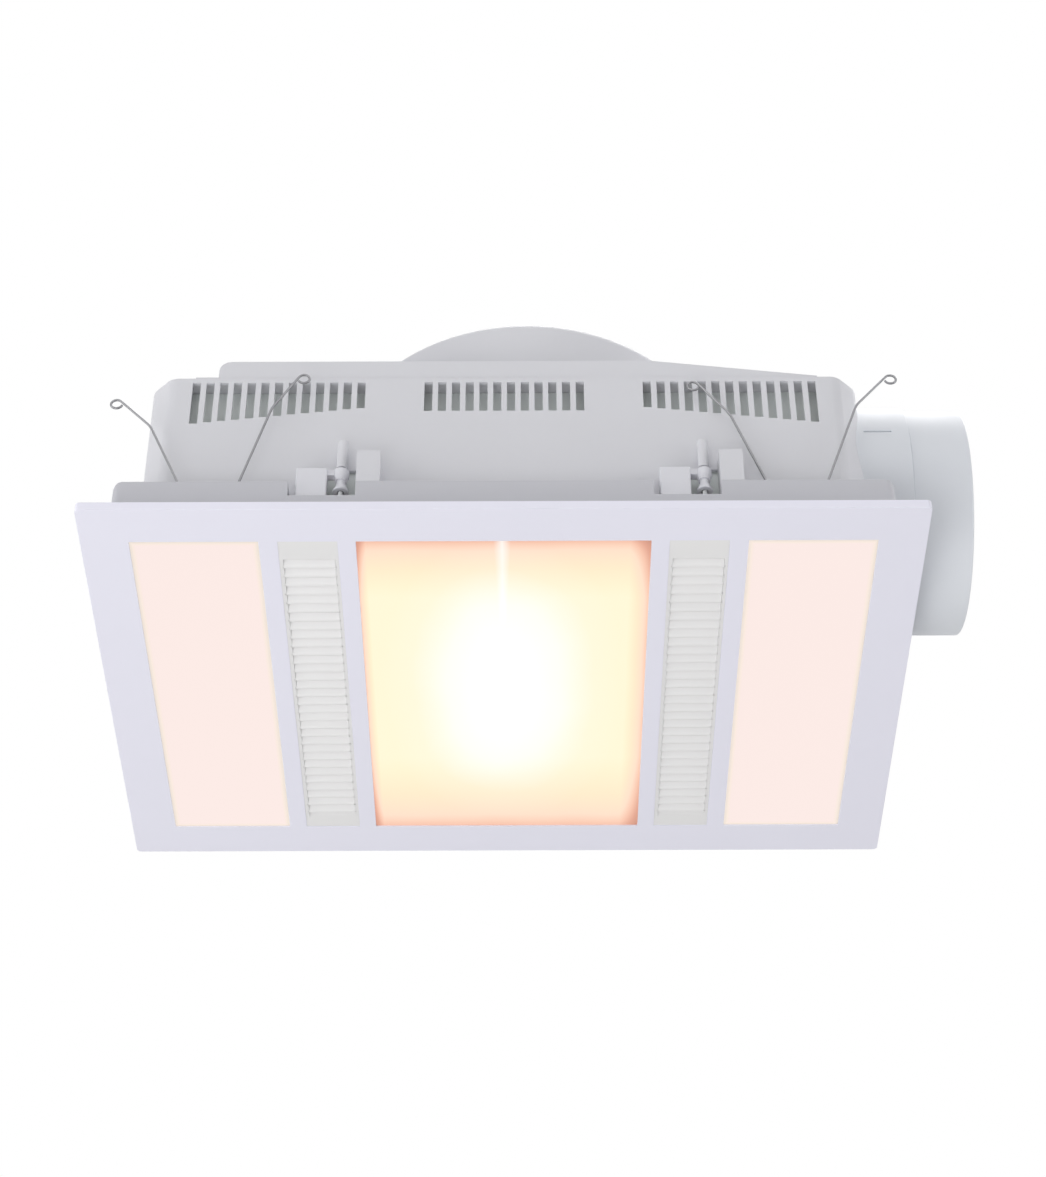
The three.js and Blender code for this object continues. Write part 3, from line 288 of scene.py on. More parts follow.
lensGlow = {
    "coreX": -0.001, "coreY": -0.006, "coreHalfX": 0.047, "coreHalfY": 0.098, "coreSquare": 2.6,
    "coreWaver": 0.25, "edgeWaver": 0.06, "waver": 18, "halfX": 0.0925, "halfY": 0.1515,
    "frontFade": 0.055, "rearFade": 0.08, "leftFade": 0.006, "rightFade": 0.013,
    "endDepth": 0.3, "endPower": 0.7, "sideDepth": 0.38, "spikeHalfX": 0.0025,
    "spikeGrow": 0.003, "spikeEndY": -0.07, "spikeLength": 0.08, "spikeLevel": 0.75,
    "edgeColours": [(0.12, "#c8907c"), (0.24, "#e0a48e"), (0.36, "#f4c4ac"), (0.5, "#fbddc6"),
                    (0.72, "#fce8c8"), (0.9, "#fdf0cf"), (1, "#fdf3d4")],
    "coreLevels": [(0.25, 1), (0.4, 0.8), (0.52, 0.42), (0.64, 0.12), (0.85, 0)],
    "coreColour": "#fdfdf9", "frost": 1200, "frostRelief": 0.1, "frostDepth": 0.0001,
}


def fade(distance, reach):
    # 0 at an edge, 1 from the reach inwards
    return (distance / reach).below(1)


def litGlass(name, sizes):
    # frosted glass over the burning lamp: white over the filament, cream, orange and pink edges
    finish = Finish(name, Roughness=0.35, Emission_Strength=1.0, Specular_IOR_Level=0.2)
    x, y, _ = finish.axes()
    coreX, coreY, halfX, halfY = pick(sizes, "coreX", "coreY", "halfX", "halfY")
    waver = finish.noise(sizes["waver"]) - 0.5
    sideways = (x - coreX) / sizes["coreHalfX"]
    along = (y - coreY) / sizes["coreHalfY"]
    core = (sideways ** 2 + abs(along) ** sizes["coreSquare"]) ** 0.5
    core = core + waver * sizes["coreWaver"]
    front, rear = fade(y + halfY, sizes["frontFade"]), fade(halfY - y, sizes["rearFade"])
    left, right = fade(x + halfX, sizes["leftFade"]), fade(halfX - x, sizes["rightFade"])
    endDepth, sideDepth = pick(sizes, "endDepth", "sideDepth")
    ends = front.below(rear) ** sizes["endPower"] * (1 - endDepth) + endDepth
    sides = left.below(right) * (1 - sideDepth) + sideDepth
    edgeStops = [(at, linear(code)) for at, code in sizes["edgeColours"]]
    warm = finish.ramp(ends * sides + waver * sizes["edgeWaver"], edgeStops)
    coreStops = [(at, (level, level, level, 1)) for at, level in sizes["coreLevels"]]
    hot = finish.ramp(core / 2, coreStops)
    high = fade(sizes["spikeEndY"] - y, sizes["spikeLength"]).above(0)
    spike = 1 - fade(abs(x - coreX), high * sizes["spikeGrow"] + sizes["spikeHalfX"])
    heat = (hot + spike * high ** 0.5 * sizes["spikeLevel"]).below(1)
    finish.shine(finish.blend(heat, warm, linear(sizes["coreColour"])))
    finish.relief(finish.noise(sizes["frost"]), sizes["frostRelief"], sizes["frostDepth"])
    return finish.material


lightGlow = {"middleX": 0.194, "halfX": 0.0405, "halfY": 0.1515, "rim": 0.004, "waver": 25,
             "waverShare": 0.2, "colours": [(0, "#e4dacf"), (0.55, "#f4e5da"), (1, "#f6e5e0")]}


def litPanel(name, sizes):
    # opal diffuser of the light: even, with a slightly yellow and dimmer rim
    finish = Finish(name, Roughness=0.4, Emission_Strength=1.0, Specular_IOR_Level=0.2)
    x, y, _ = finish.axes()
    inX = sizes["halfX"] - abs(abs(x) - sizes["middleX"])
    inY = sizes["halfY"] - abs(y)
    waver = (finish.noise(sizes["waver"]) - 0.5) * sizes["waverShare"]
    rim = (inX.below(inY) / sizes["rim"] + waver).below(1).above(0)
    finish.shine(finish.ramp(rim, [(at, linear(code)) for at, code in sizes["colours"]]))
    return finish.material


# scale of the noise and both ends of the ramp, for each socket
bulbGlow = {"Emission Color": (20, 0.3, 0.7), "Base Color": (60, 0.2, 0.8)}


def litBulb(name, glass, hot):
    # lamp glass with a hot middle that wanders a little
    finish = Finish(name, Roughness=0.15, Emission_Strength=1.5)
    for socket, (scale, low, high) in bulbGlow.items():
        stops = [(low, linear(glass)), (high, linear(hot))]
        finish.feed(socket, finish.ramp(finish.noise(scale), stops))
    return finish.material


finishes = {
    "housing_plastic": mouldedPlastic("housingPlastic", "#d5d5da", 0.5, 0.12),
    "duct_plastic": mouldedPlastic("ductPlastic", "#dbdee4", 0.42, 0.08),
    "fascia_plastic": mouldedPlastic("fasciaPlastic", "#e8e7f4", 0.35, 0.05, 0.012, 0.15),
    "grille_plastic": mouldedPlastic("grillePlastic", "#e6e5e6", 0.4, 0.05, 0.015),
    "clamp_plastic": mouldedPlastic("clampPlastic", "#dcdce2", 0.45, 0.1),
    "wheel_plastic": mouldedPlastic("wheelPlastic", "#c9ccce", 0.5, 0.1),
    "dark_plastic": mouldedPlastic("darkPlastic", "#4a4d50", 0.55, 0.15, 0.08),
    "circuit_board": ledBoard("lightBoard", boardChips),
    "aluminium": metalSurface("aluminiumSheet", "#c9cbce", 0.3, (1, 30, 1)),
    "zinc_steel": zincPlate("zincSteel", "#b4b6b8", 0.38),
    "spring_wire": metalSurface("springWire", "#88888b", 0.42, (2, 2, 2)),
    "ceramic": glazedCeramic("glazedCeramic", "#ece8df"),
    "lens_glass": litGlass("litLensGlass", lensGlow),
    "light_diffuser": litPanel("litDiffuser", lightGlow),
    "lamp_glass": litBulb("lampGlass", "#fff1cf", "#ffffff"),
}
# the collar is painted a shade duller than the box, as painted shade for the shade that falls on
# its face from below; the plates inside the housing are painted paler, as painted light for the
# light seen inside through the slots
collarPaintedShadePlastic = mouldedPlastic("collarPaintedShadePlastic", "#c4c4ca", 0.5, 0.12)
paintedLightPlastic = mouldedPlastic("paintedLightPlastic", "#e4e9e7", 0.6, 0.12)
print("materials made:", len(finishes) + 2)

weld = {"spun": 0.00001, "solid": 0.00002}  # vertices nearer than this become one
sharpAngle = 35  # only edges sharper than this are rounded


def activate(piece):
    if bpy.context.object and bpy.context.object.mode != "OBJECT":
        bpy.ops.object.mode_set(mode="OBJECT")
    bpy.ops.object.select_all(action="DESELECT")
    piece.select_set(True)
    bpy.context.view_layer.objects.active = piece


def startEdit(piece, kind="VERT", action="SELECT"):
    activate(piece)
    bpy.ops.object.mode_set(mode="EDIT")
    bpy.ops.mesh.select_mode(type=kind)
    bpy.ops.mesh.select_all(action=action)


def endEdit():
    bpy.ops.object.mode_set(mode="OBJECT")


def selectMesh():
    bpy.ops.mesh.select_all(action="SELECT")


def faceOutwards():
    selectMesh()
    bpy.ops.mesh.normals_make_consistent(inside=False)


def applied(piece):
    activate(piece)
    bpy.ops.object.transform_apply(location=True, rotation=True, scale=True)
    return piece


def cube(low, high):
    # box between two corners, its size and place already in its mesh
    low, high = Vector(low), Vector(high)
    bpy.ops.mesh.primitive_cube_add(size=1, location=(low + high) / 2)
    piece = bpy.context.object
    piece.scale = high - low
    return applied(piece)


def chain(points, closed=False):
    # one corner pulled out point by point into an outline
    bpy.ops.mesh.primitive_plane_add(size=0.01, location=points[0])
    piece = applied(bpy.context.object)
    startEdit(piece)
    bpy.ops.mesh.merge(type="CENTER")
    for before, after in zip(points, points[1:]):
        step = Vector(after) - Vector(before)
        bpy.ops.mesh.extrude_vertices_move(TRANSFORM_OT_translate={"value": step})
    if closed:
        selectMesh()
        bpy.ops.mesh.edge_face_add()
    endEdit()
    return piece


def spun(points, centre, axis, steps):
    # outline turned once round an axis, its poles and seam closed
    piece = chain(points)
    startEdit(piece)
    bpy.ops.mesh.spin(steps=steps, angle=math.tau, center=centre, axis=axis)
    selectMesh()
    bpy.ops.mesh.remove_doubles(threshold=weld["spun"])
    faceOutwards()
    endEdit()
    return piece


def upright(profile, x, y, steps=48):
    # profile of (radius, height) turned about an upright axis
    points = [(x + radius, y, height) for radius, height in profile]
    return spun(points, (x, y, 0), (0, 0, 1), steps)


def lyingY(profile, x, z, steps=48):
    # profile of (radius, place along Y) turned about an axis along Y
    points = [(x + radius, along, z) for radius, along in profile]
    return spun(points, (x, 0, z), (0, 1, 0), steps)


def pulled(points, step):
    # closed outline filled and pulled along one direction
    piece = chain(points, closed=True)
    startEdit(piece, "FACE")
    bpy.ops.mesh.extrude_region_move(TRANSFORM_OT_translate={"value": step})
    faceOutwards()
    endEdit()
    return piece


def arc(centreX, centreY, reach, start, sweep, steps):
    # points along part of a circle, its angles in degrees
    turns = [math.radians(start + sweep * step / steps) for step in range(steps + 1)]
    return [(centreX + reach * math.cos(turn), centreY + reach * math.sin(turn))
            for turn in turns]


def modified(piece, kind, **settings):
    activate(piece)
    bpy.ops.object.modifier_add(type=kind)
    modifier = piece.modifiers[-1]
    for key, value in settings.items():
        setattr(modifier, key, value)
    bpy.ops.object.modifier_apply(modifier=modifier.name)
    return piece


def rounded(piece, width, segments=2):
    return modified(piece, "BEVEL", width=width, segments=segments, limit_method="ANGLE",
                    angle_limit=math.radians(sharpAngle), miter_outer="MITER_ARC")


def combined(piece, operation, others):
    for other in others:
        modified(piece, "BOOLEAN", operation=operation, object=other, solver="EXACT")
        bpy.data.objects.remove(other)
    return piece


def cutAway(piece, *cutters): return combined(piece, "DIFFERENCE", cutters)
def merged(piece, *others): return combined(piece, "UNION", others)


def joined(*parts):
    activate(parts[0])
    for part in parts:
        part.select_set(True)
    bpy.ops.object.join()
    return parts[0]


def copied(piece, shift=(0, 0, 0), half=False):
    # copy with its own mesh, moved, and turned half round about the upright axis if asked for
    activate(piece)
    bpy.ops.object.duplicate()
    made = bpy.context.object
    made.location = shift
    applied(made)
    if half:
        made.rotation_euler = (0, 0, math.pi)
        applied(made)
    return made


def wire(points, thickness, sides=3):
    # round wire along a route, turned into a mesh
    bpy.ops.curve.primitive_nurbs_path_add()
    curve = bpy.context.object.data
    curve.splines.clear()
    spline = curve.splines.new("POLY")
    spline.points.add(len(points) - 1)
    for point, place in zip(spline.points, points):
        point.co = (*place, 1)
    curve.bevel_depth = thickness / 2
    curve.bevel_resolution = sides
    curve.use_fill_caps = True
    bpy.ops.object.convert(target="MESH")
    return applied(bpy.context.object)


def finished(piece, name, body, slot, replaced=(), smooth=32, even=True):
    # last step of every piece: name, finish, smooth faces, body
    applied(piece)
    piece.name = name
    piece.data.name = name
    piece.data.materials.clear()
    piece.data.materials.append(finishes[slot])
    bpy.ops.object.shade_smooth_by_angle(angle=math.radians(smooth))
    if even:
        modified(piece, "WEIGHTED_NORMAL", keep_sharp=True)
    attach(piece, body)
    if replaced:
        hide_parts(*replaced)
    return piece


def softened(node, width):
    # copy of a CAD solid with its loose triangles merged and its edges rounded
    activate(frame["nodes"][node])
    bpy.ops.object.duplicate()
    piece = bpy.context.object
    activate(piece)
    bpy.ops.object.parent_clear(type="CLEAR_KEEP_TRANSFORM")
    startEdit(piece)
    bpy.ops.mesh.remove_doubles(threshold=weld["solid"])
    endEdit()
    return rounded(piece, width) if width else piece


bodies = frame["record"]["behaviour"]["bodies"]
bodyOf = {node: body for body, nodes in bodies.items() for node in nodes}
slotOf = {part["node"]: part["material_slot"] for part in frame["record"]["subparts"]}


def pieceName(node):
    first, *rest = node.split("_")
    return first + "".join(word.capitalize() for word in rest)


def dress(piece, node, name=None, smooth=32, even=True):
    # piece that takes the place of a CAD node, named after it unless a name is given
    return finished(piece, name or pieceName(node), bodyOf[node], slotOf[node], (node,), smooth,
                    even)


box = {"halfX": 0.2335, "halfY": 0.1475, "facet": 0.014, "round": 0.012, "steps": 6,
       "clear": 0.00005, "sideX": 0.2, "sideY": 0.18, "low": 0.03, "high": 0.15,
       "foot": 0.0364, "seam": 0.00028, "edge": 0.0007}


def quarterPlan():
    # plan of one corner of the box, its two blunt angles turned into arcs
    halfX, halfY = box["halfX"] + box["clear"], box["halfY"] + box["clear"]
    facet, reach, steps = pick(box, "facet", "round", "steps")
    run = reach * math.tan(math.radians(22.5))
    points = []
    for cornerX, cornerY, heading in ((halfX, halfY - facet, 0), (halfX - facet, halfY, 45)):
        start = math.radians(heading)
        centreX = cornerX + run * math.sin(start) - reach * math.cos(start)
        centreY = cornerY - run * math.cos(start) - reach * math.sin(start)
        points += arc(centreX, centreY, reach, heading, 45, steps)
    return points


def boxSpace(corner):
    # block whose plan is one corner's outline mirrored to all four
    plan = [*corner, *[(-x, y) for x, y in corner[::-1]], *[(-x, -y) for x, y in corner],
            *[(x, -y) for x, y in corner[::-1]]]
    return pulled([(x, y, box["low"]) for x, y in plan], (0, 0, box["high"] - box["low"]))


def makeBox():
    # the four upright corners of the box are cut to arcs before its edges are rounded
    besideClamps = [(box["sideX"], box["halfY"] + box["clear"]), (box["sideX"], box["sideY"])]
    keep = boxSpace([*quarterPlan(), *besideClamps])
    piece = combined(softened("housing", 0), "INTERSECT", [keep])
    startEdit(piece, "VERT", "DESELECT")
    endEdit()
    for vertex in piece.data.vertices:
        vertex.select = vertex.co.z < box["foot"]
    bpy.ops.object.mode_set(mode="EDIT")
    bpy.ops.transform.translate(value=(0, 0, -box["seam"]))  # the foot meets the collar's ledge
    endEdit()
    return rounded(piece, box["edge"])


dress(makeBox(), "housing", "housingBox")
collarWall = dress(softened("collar", box["edge"]), "collar", "collarWall")
# painted shade: the collar gets the duller plastic, which stands in for the shade that falls on it
# from below
collarWall.data.materials[0] = collarPaintedShadePlastic
print("housing box and collar done")

# solids whose own form is finished by rounding their edges, with the width of the round
roundedNodes = {
    "ceiling_flange": 0.0003, "top_cover": 0.0009, "fan_scroll": 0.0005, "fan_wheel": 0.0003,
    "motor_plate": 0.0003, "flap_front": 0.0003, "flap_rear": 0.0003, "reflector": 0.0003,
    "terminal_box": 0.0006, "terminal_lid": 0.0006, "fascia_frame": 0.0005,
    "heat_lens": 0.0006, "light_diffuser_left": 0.0006, "light_diffuser_right": 0.0006,
    "light_tray_left": 0.0004, "light_tray_right": 0.0004, "light_board_left": 0.0002,
    "light_board_right": 0.0002,
}
for node, width in roundedNodes.items():
    dress(softened(node, width), node)
print("rounded solids done")

drum = {"x": 0.015, "radius": 0.131, "top": 0.2125, "round": 0.007, "wall": 0.0025,
        "foot": 0.144, "steps": 144, "roundSteps": 6, "grooves": (0.112, 0.058),
        "grooveWidth": 0.0012, "grooveDepth": 0.0006, "spare": 0.01}
roof = {"low": 0.13, "high": 0.1586, "flatEnd": 0.096, "end": 0.207, "endHigh": 0.144}


def makeDrum():
    # round cap with two shallow grooves, its foot cut to the lid's flat and sloping roof
    radius, top, bend, wall, foot = pick(drum, "radius", "top", "round", "wall", "foot")
    outer, inner = [arc(radius - bend, top - bend, reach, 0, 90, drum["roundSteps"])
                    for reach in (bend, bend - wall)]
    half = drum["grooveWidth"] / 2
    dips = []
    for middle in drum["grooves"]:
        dips += [(middle + half, top), (middle, top - drum["grooveDepth"]),
                 (middle - half, top)]
    profile = [(radius, foot), *outer, *dips, (0, top), (0, top - wall), *inner[::-1],
               (radius - wall, foot), (radius, foot)]
    piece = upright(profile, drum["x"], 0, drum["steps"])
    reach = radius + drum["spare"]
    low, high, flatEnd, end, endHigh = pick(roof, "low", "high", "flatEnd", "end", "endHigh")
    section = [(-reach, low), (end, low), (end, endHigh), (flatEnd, high), (-reach, high)]
    return cutAway(piece, pulled([(x, -reach, z) for x, z in section], (0, 2 * reach, 0)))


dress(makeDrum(), "motor_drum")
print("drum done")

lidScrew = {"radius": 0.0036, "height": 0.0018, "recess": 0.0009, "recessLength": 0.0038,
            "recessWidth": 0.0009, "dome": [(1, 0), (1, 0.35), (0.86, 0.75), (0.55, 1)],
            "steps": 32, "over": 0.001,
            "places": [(-0.181, -0.139, 0.1586), (-0.181, 0.139, 0.1586),
                       (0.075, -0.139, 0.1586), (0.075, 0.139, 0.1586),
                       (-0.197, -0.06, 0.144), (-0.197, 0.06, 0.144)]}


def crossCut(piece, length, width, low, high):
    # cross recess of a screw's head, about the upright axis
    return cutAway(piece, cube((-length / 2, -width / 2, low), (length / 2, width / 2, high)),
                   cube((-width / 2, -length / 2, low), (width / 2, length / 2, high)))


def makeLidScrews():
    # domed heads with a cross recess, one at each place on the lid
    radius, height, length, width = pick(lidScrew, "radius", "height", "recessLength",
                                         "recessWidth")
    dome = [(radius * across, height * up) for across, up in lidScrew["dome"]]
    head = upright([(0, 0), *dome, (0, height)], 0, 0, lidScrew["steps"])
    crossCut(head, length, width, height - lidScrew["recess"], height + lidScrew["over"])
    heads = [copied(head, place) for place in lidScrew["places"]]
    bpy.data.objects.remove(head)
    return joined(*heads)


finished(makeLidScrews(), "lidScrews", "housing", "zinc_steel")
print("lid screws done")

motor = {"x": 0.015, "base": 0.1271, "height": 0.050, "radius": 0.046, "rim": 0.003,
         "rimCut": 0.3, "bore": 0.0043, "boreTop": 0.1514, "bands": (0.014, 0.036),
         "bandDepth": 0.0009, "bandHalf": 0.0016, "bandFlat": 0.0008, "cap": 0.016,
         "capHeight": 0.0025, "capSlope": 0.001, "capEdge": 0.0008, "steps": 96}
shaft = {"low": 0.102, "top": 0.1511, "radius": 0.004, "chamfer": 0.0005, "steps": 48}


def makeMotor():
    # can with two pressed bands, a low cap and the blind bore that takes the shaft
    base, radius, rim, cap = pick(motor, "base", "radius", "rim", "cap")
    bore, boreTop, slope = pick(motor, "bore", "boreTop", "capSlope")
    half, flat = pick(motor, "bandHalf", "bandFlat")
    top = base + motor["height"]
    capFoot = top - motor["capHeight"]
    corner = rim * motor["rimCut"]
    deep = radius - motor["bandDepth"]
    side = []
    for band in motor["bands"]:
        middle = base + band
        side += [(radius, middle - half), (deep, middle - flat), (deep, middle + flat),
                 (radius, middle + half)]
    profile = [(bore, base), (radius - rim, base), (radius - corner, base + corner),
               (radius, base + rim), *side, (radius, capFoot - rim),
               (radius - corner, capFoot - corner), (radius - rim, capFoot),
               (cap + slope, capFoot), (cap, top - motor["capEdge"]), (cap - slope, top),
               (0, top), (0, boreTop), (bore, boreTop), (bore, base)]
    return upright(profile, motor["x"], 0, motor["steps"])


def pin(sizes, x, y, low, top):
    # upright round bar with chamfered ends
    radius, chamfer = pick(sizes, "radius", "chamfer")
    return upright([(0, low), (radius - chamfer, low), (radius, low + chamfer),
                    (radius, top - chamfer), (radius - chamfer, top), (0, top)],
                   x, y, sizes["steps"])


dress(makeMotor(), "motor_case")
dress(pin(shaft, motor["x"], 0, shaft["low"], shaft["top"]), "motor_shaft")
print("motor done")

duct = {"y": -0.0607, "z": 0.0888, "steps": 144}
adaptor = {"back": 0.2265, "start": 0.2338, "end": 0.26515, "radius": 0.077, "wall": 0.0025,
           "edge": 0.0008, "edgeCut": 0.3, "over": 0.001, "wedgeY": -0.128, "rearY": 0.03,
           "high": 0.2}
mouth = {"front": -0.112, "rear": -0.026, "low": 0.080, "high": 0.1225, "over": 0.002}
slit = {"start": 0.0015, "length": 0.0184, "height": 0.0018, "depth": 0.0014, "over": 0.003,
        "angle": 80}
spigot = {"plugStart": 0.2519, "plugRadius": 0.0742, "start": 0.2652, "end": 0.3036,
          "radius": 0.075, "bore": 0.0722, "lip": 0.0016, "lipSteps": 5, "edge": 0.0004}


def ductRing(profile):
    # profile of (x, radius) turned about the duct's axis
    points = [(x, duct["y"], duct["z"] + radius) for x, radius in profile]
    return spun(points, (0, duct["y"], duct["z"]), (1, 0, 0), duct["steps"])


def makeAdaptor():
    back, start, end, outside = pick(adaptor, "back", "start", "end", "radius")
    wall, edge, over = pick(adaptor, "wall", "edge", "over")
    inside, floor, corner = outside - wall, start + wall, edge * adaptor["edgeCut"]
    tube = ductRing([(back, 0), (back, outside), (end - edge, outside),
                     (end - corner, outside - corner), (end, outside - edge), (end, inside),
                     (floor, inside), (floor, 0)])
    # only the front of its back reaches round the box's corner, whose form is cut from it
    behind = cube((back - over, adaptor["wedgeY"], 0), (start, adaptor["rearY"], adaptor["high"]))
    cutAway(tube, boxSpace(quarterPlan()), behind)
    opening = cube((start - mouth["over"], mouth["front"], mouth["low"]),
                   (floor + mouth["over"], mouth["rear"], mouth["high"]))
    low = Vector((start + slit["start"], -slit["height"] / 2, outside - slit["depth"]))
    high = Vector((low.x + slit["length"], slit["height"] / 2, outside + slit["over"]))
    groove = cube(low, high)
    groove.rotation_euler = (math.radians(slit["angle"]), 0, 0)
    groove.location = (0, duct["y"], duct["z"])
    return cutAway(tube, opening, applied(groove))


def makeSpigot():
    # sleeve with a rolled lip, its back end plugged into the adaptor
    back, plug, start, end = pick(spigot, "plugStart", "plugRadius", "start", "end")
    outside, bore, lip, edge = pick(spigot, "radius", "bore", "lip", "edge")
    rolled = arc(end - lip, outside - lip, lip, 90, -90, spigot["lipSteps"])
    return ductRing([(back, bore), (back, plug), (start, plug), (start, outside - edge),
                     (start + edge, outside), *rolled, (end, bore + edge), (end - edge, bore),
                     (back, bore)])


dress(makeAdaptor(), "duct_adaptor")
dress(makeSpigot(), "duct_spigot")

flapRod = {"x": 0.2579, "radius": 0.002, "reach": 0.0716, "chamfer": 0.0004, "steps": 32}
flapSpring = {"radius": 0.0036, "wire": 0.0008, "pitch": 0.0015, "turns": 4, "z": -0.008,
              "steps": 28, "sides": 2, "smooth": 60}


def makeFlapSpring():
    # close winding round the rod, just below the middle of the duct
    radius, pitch, turns, steps = pick(flapSpring, "radius", "pitch", "turns", "steps")
    low = duct["z"] + flapSpring["z"]
    winding = arc(flapRod["x"], duct["y"], radius, 0, 360 * turns, turns * steps)
    route = [(x, y, low + pitch * step / steps) for step, (x, y) in enumerate(winding)]
    return wire(route, flapSpring["wire"], flapSpring["sides"])


rod = pin(flapRod, flapRod["x"], duct["y"], duct["z"] - flapRod["reach"],
          duct["z"] + flapRod["reach"])
dress(rod, "flap_rod")
dress(makeFlapSpring(), "flap_spring", smooth=flapSpring["smooth"], even=False)
print("duct done")

# profiles of (radius, distance from the lamp's foot)
lamp = {"z": 0.029, "start": -0.104, "neck": 0.013, "radius": 0.022, "length": 0.158,
        "foot": [(0, 0), (0.010, 0), (0.012, 0.002)], "threadStart": 0.003,
        "threadLength": 0.019, "threads": 6, "threadDepth": 0.0009,
        "bulb": [(0.013, 0.024), (0.0145, 0.026), (0.018, 0.056), (0.0205, 0.064),
                 (0.022, 0.070)], "endSteps": 10, "steps": 64, "smooth": 40}
holder = {"back": -0.1415, "radius": 0.018, "cup": -0.1043, "bore": 0.0133, "lip": 0.0169,
          "lipEdge": 0.0005, "front": -0.089, "edge": 0.0012, "rings": 4, "ringDepth": 0.0008,
          "ringFlat": 0.6, "ringEnd": 0.8}


def makeLamp():
    neck, radius, threads = pick(lamp, "neck", "radius", "threads")
    pitch = lamp["threadLength"] / threads
    thread = []
    for turn in range(threads):
        at = lamp["threadStart"] + turn * pitch
        thread += [(neck - lamp["threadDepth"], at), (neck, at + pitch / 2)]
    dome = arc(0, lamp["length"] - radius, radius, 0, 90, lamp["endSteps"])
    profile = [(reach, lamp["start"] + along)
               for reach, along in [*lamp["foot"], *thread, *lamp["bulb"], *dome]]
    return lyingY(profile, 0, lamp["z"], lamp["steps"])


def makeHolder():
    back, radius, cup, edge = pick(holder, "back", "radius", "cup", "edge")
    bore, lip, lipEdge, front = pick(holder, "bore", "lip", "lipEdge", "front")
    gap = (cup - back - 2 * edge) / holder["rings"]
    side = []
    for ring in range(holder["rings"]):
        at = back + edge + ring * gap
        side += [(radius, at), (radius, at + gap * holder["ringFlat"]),
                 (radius - holder["ringDepth"], at + gap * holder["ringEnd"])]
    profile = [(0, back), (radius - edge, back), *side, (radius, cup - edge),
               (radius - edge, cup), (lip, cup), (lip, front - lipEdge),
               (lip - lipEdge, front), (bore, front), (bore, cup), (0, cup)]
    return lyingY(profile, 0, lamp["z"], lamp["steps"])


dress(makeLamp(), "heat_lamp", smooth=lamp["smooth"])
dress(makeHolder(), "lamp_holder")
print("lamp done")

gland = {"x": -0.193, "z": 0.078, "bore": 0.004, "radius": 0.008, "start": 0.1397,
         "face": 0.1478, "flange": 0.0115, "nose": 0.1508, "end": 0.1558, "edge": 0.0006,
         "endEdge": 0.0012, "nutInset": 0.0005, "flats": 6, "smooth": 25}


def makeGland():
    # threaded body with a hexagon nut against the wall
    start, face, nose, end = pick(gland, "start", "face", "nose", "end")
    bore, radius, flange = pick(gland, "bore", "radius", "flange")
    edge, endEdge = pick(gland, "edge", "endEdge")
    body = lyingY([(bore, start), (radius, start), (radius, face + edge), (radius, nose),
                   (radius, end - endEdge), (radius - endEdge, end), (bore + edge, end),
                   (bore, end - edge), (bore, start)], gland["x"], gland["z"])
    inner = radius - gland["nutInset"]
    nut = lyingY([(inner, face), (flange, face), (flange, nose - edge), (flange - edge, nose),
                  (inner, nose), (inner, face)], gland["x"], gland["z"], gland["flats"])
    return joined(body, nut)


dress(makeGland(), "cable_gland", smooth=gland["smooth"])
print("cable gland done")

spring = {"x": 0.187, "y": 0.154, "wire": 0.0016, "coil": 0.006, "coilZ": 0.009,
          "pitch": 0.0024, "steps": 36, "legGap": 0.0022, "ledgeX": 0.0175, "ledgeZ": 0.036,
          "ledgeRound": 0.003, "kinkRound": 0.004, "bendSteps": 5, "loop": 0.0037,
          "sweep": 300, "loopSteps": 24, "smooth": 60, "bracketEdge": 0.0003}
# kink X and Z, then loop X and Z, of the left (-1) and the right (1) leg from the coil's middle;
# every wire is bent by hand, so the two springs that show have their own shape for each leg
rearLegs = {-1: (0.0414, 0.0975, 0.0643, 0.122), 1: (0.0396, 0.108, 0.0618, 0.1323)}
springLegs = {
    "rear.left": rearLegs, "rear.right": rearLegs,
    "front.left": {-1: (0.0422, 0.0934, 0.066, 0.1137), 1: (0.0362, 0.1072, 0.0556, 0.1331)},
    "front.right": {-1: (0.0402, 0.1034, 0.063, 0.1287), 1: (0.0422, 0.1075, 0.0664, 0.131)},
}
rise = spring["ledgeZ"] - spring["coilZ"]
legReach = math.hypot(spring["ledgeX"], rise)
legAngle = math.atan2(spring["ledgeX"], rise) - math.asin(spring["coil"] / legReach)
coilTurn = 3 * math.pi - 2 * legAngle
coilHalf = spring["pitch"] * coilTurn / math.tau / 2


def leavingPoint(side, along):
    # where a leg leaves the coil, and further along it
    x = spring["coil"] * math.cos(legAngle) + along * math.sin(legAngle)
    z = spring["coilZ"] - spring["coil"] * math.sin(legAngle) + along * math.cos(legAngle)
    return (side * x, -side * coilHalf, z)


def coilRoute():
    count = round(coilTurn / math.tau * spring["steps"])
    start, sweep = math.degrees(math.pi + legAngle), math.degrees(coilTurn)
    turns = arc(0, spring["coilZ"], spring["coil"], start, sweep, count)
    route = [(x, coilHalf - 2 * coilHalf * step / count, z)
             for step, (x, z) in enumerate(turns)]
    return [leavingPoint(-1, spring["wire"]), *route, leavingPoint(1, spring["wire"])]


def bent(before, corner, after, radius):
    # corner of a route replaced by a short curve
    before, corner, after = Vector(before), Vector(corner), Vector(after)
    start = corner + (before - corner).normalized() * radius
    end = corner + (after - corner).normalized() * radius
    steps = spring["bendSteps"]
    shares = [step / steps for step in range(steps + 1)]
    return [start * (1 - t) ** 2 + corner * 2 * t * (1 - t) + end * t ** 2 for t in shares]


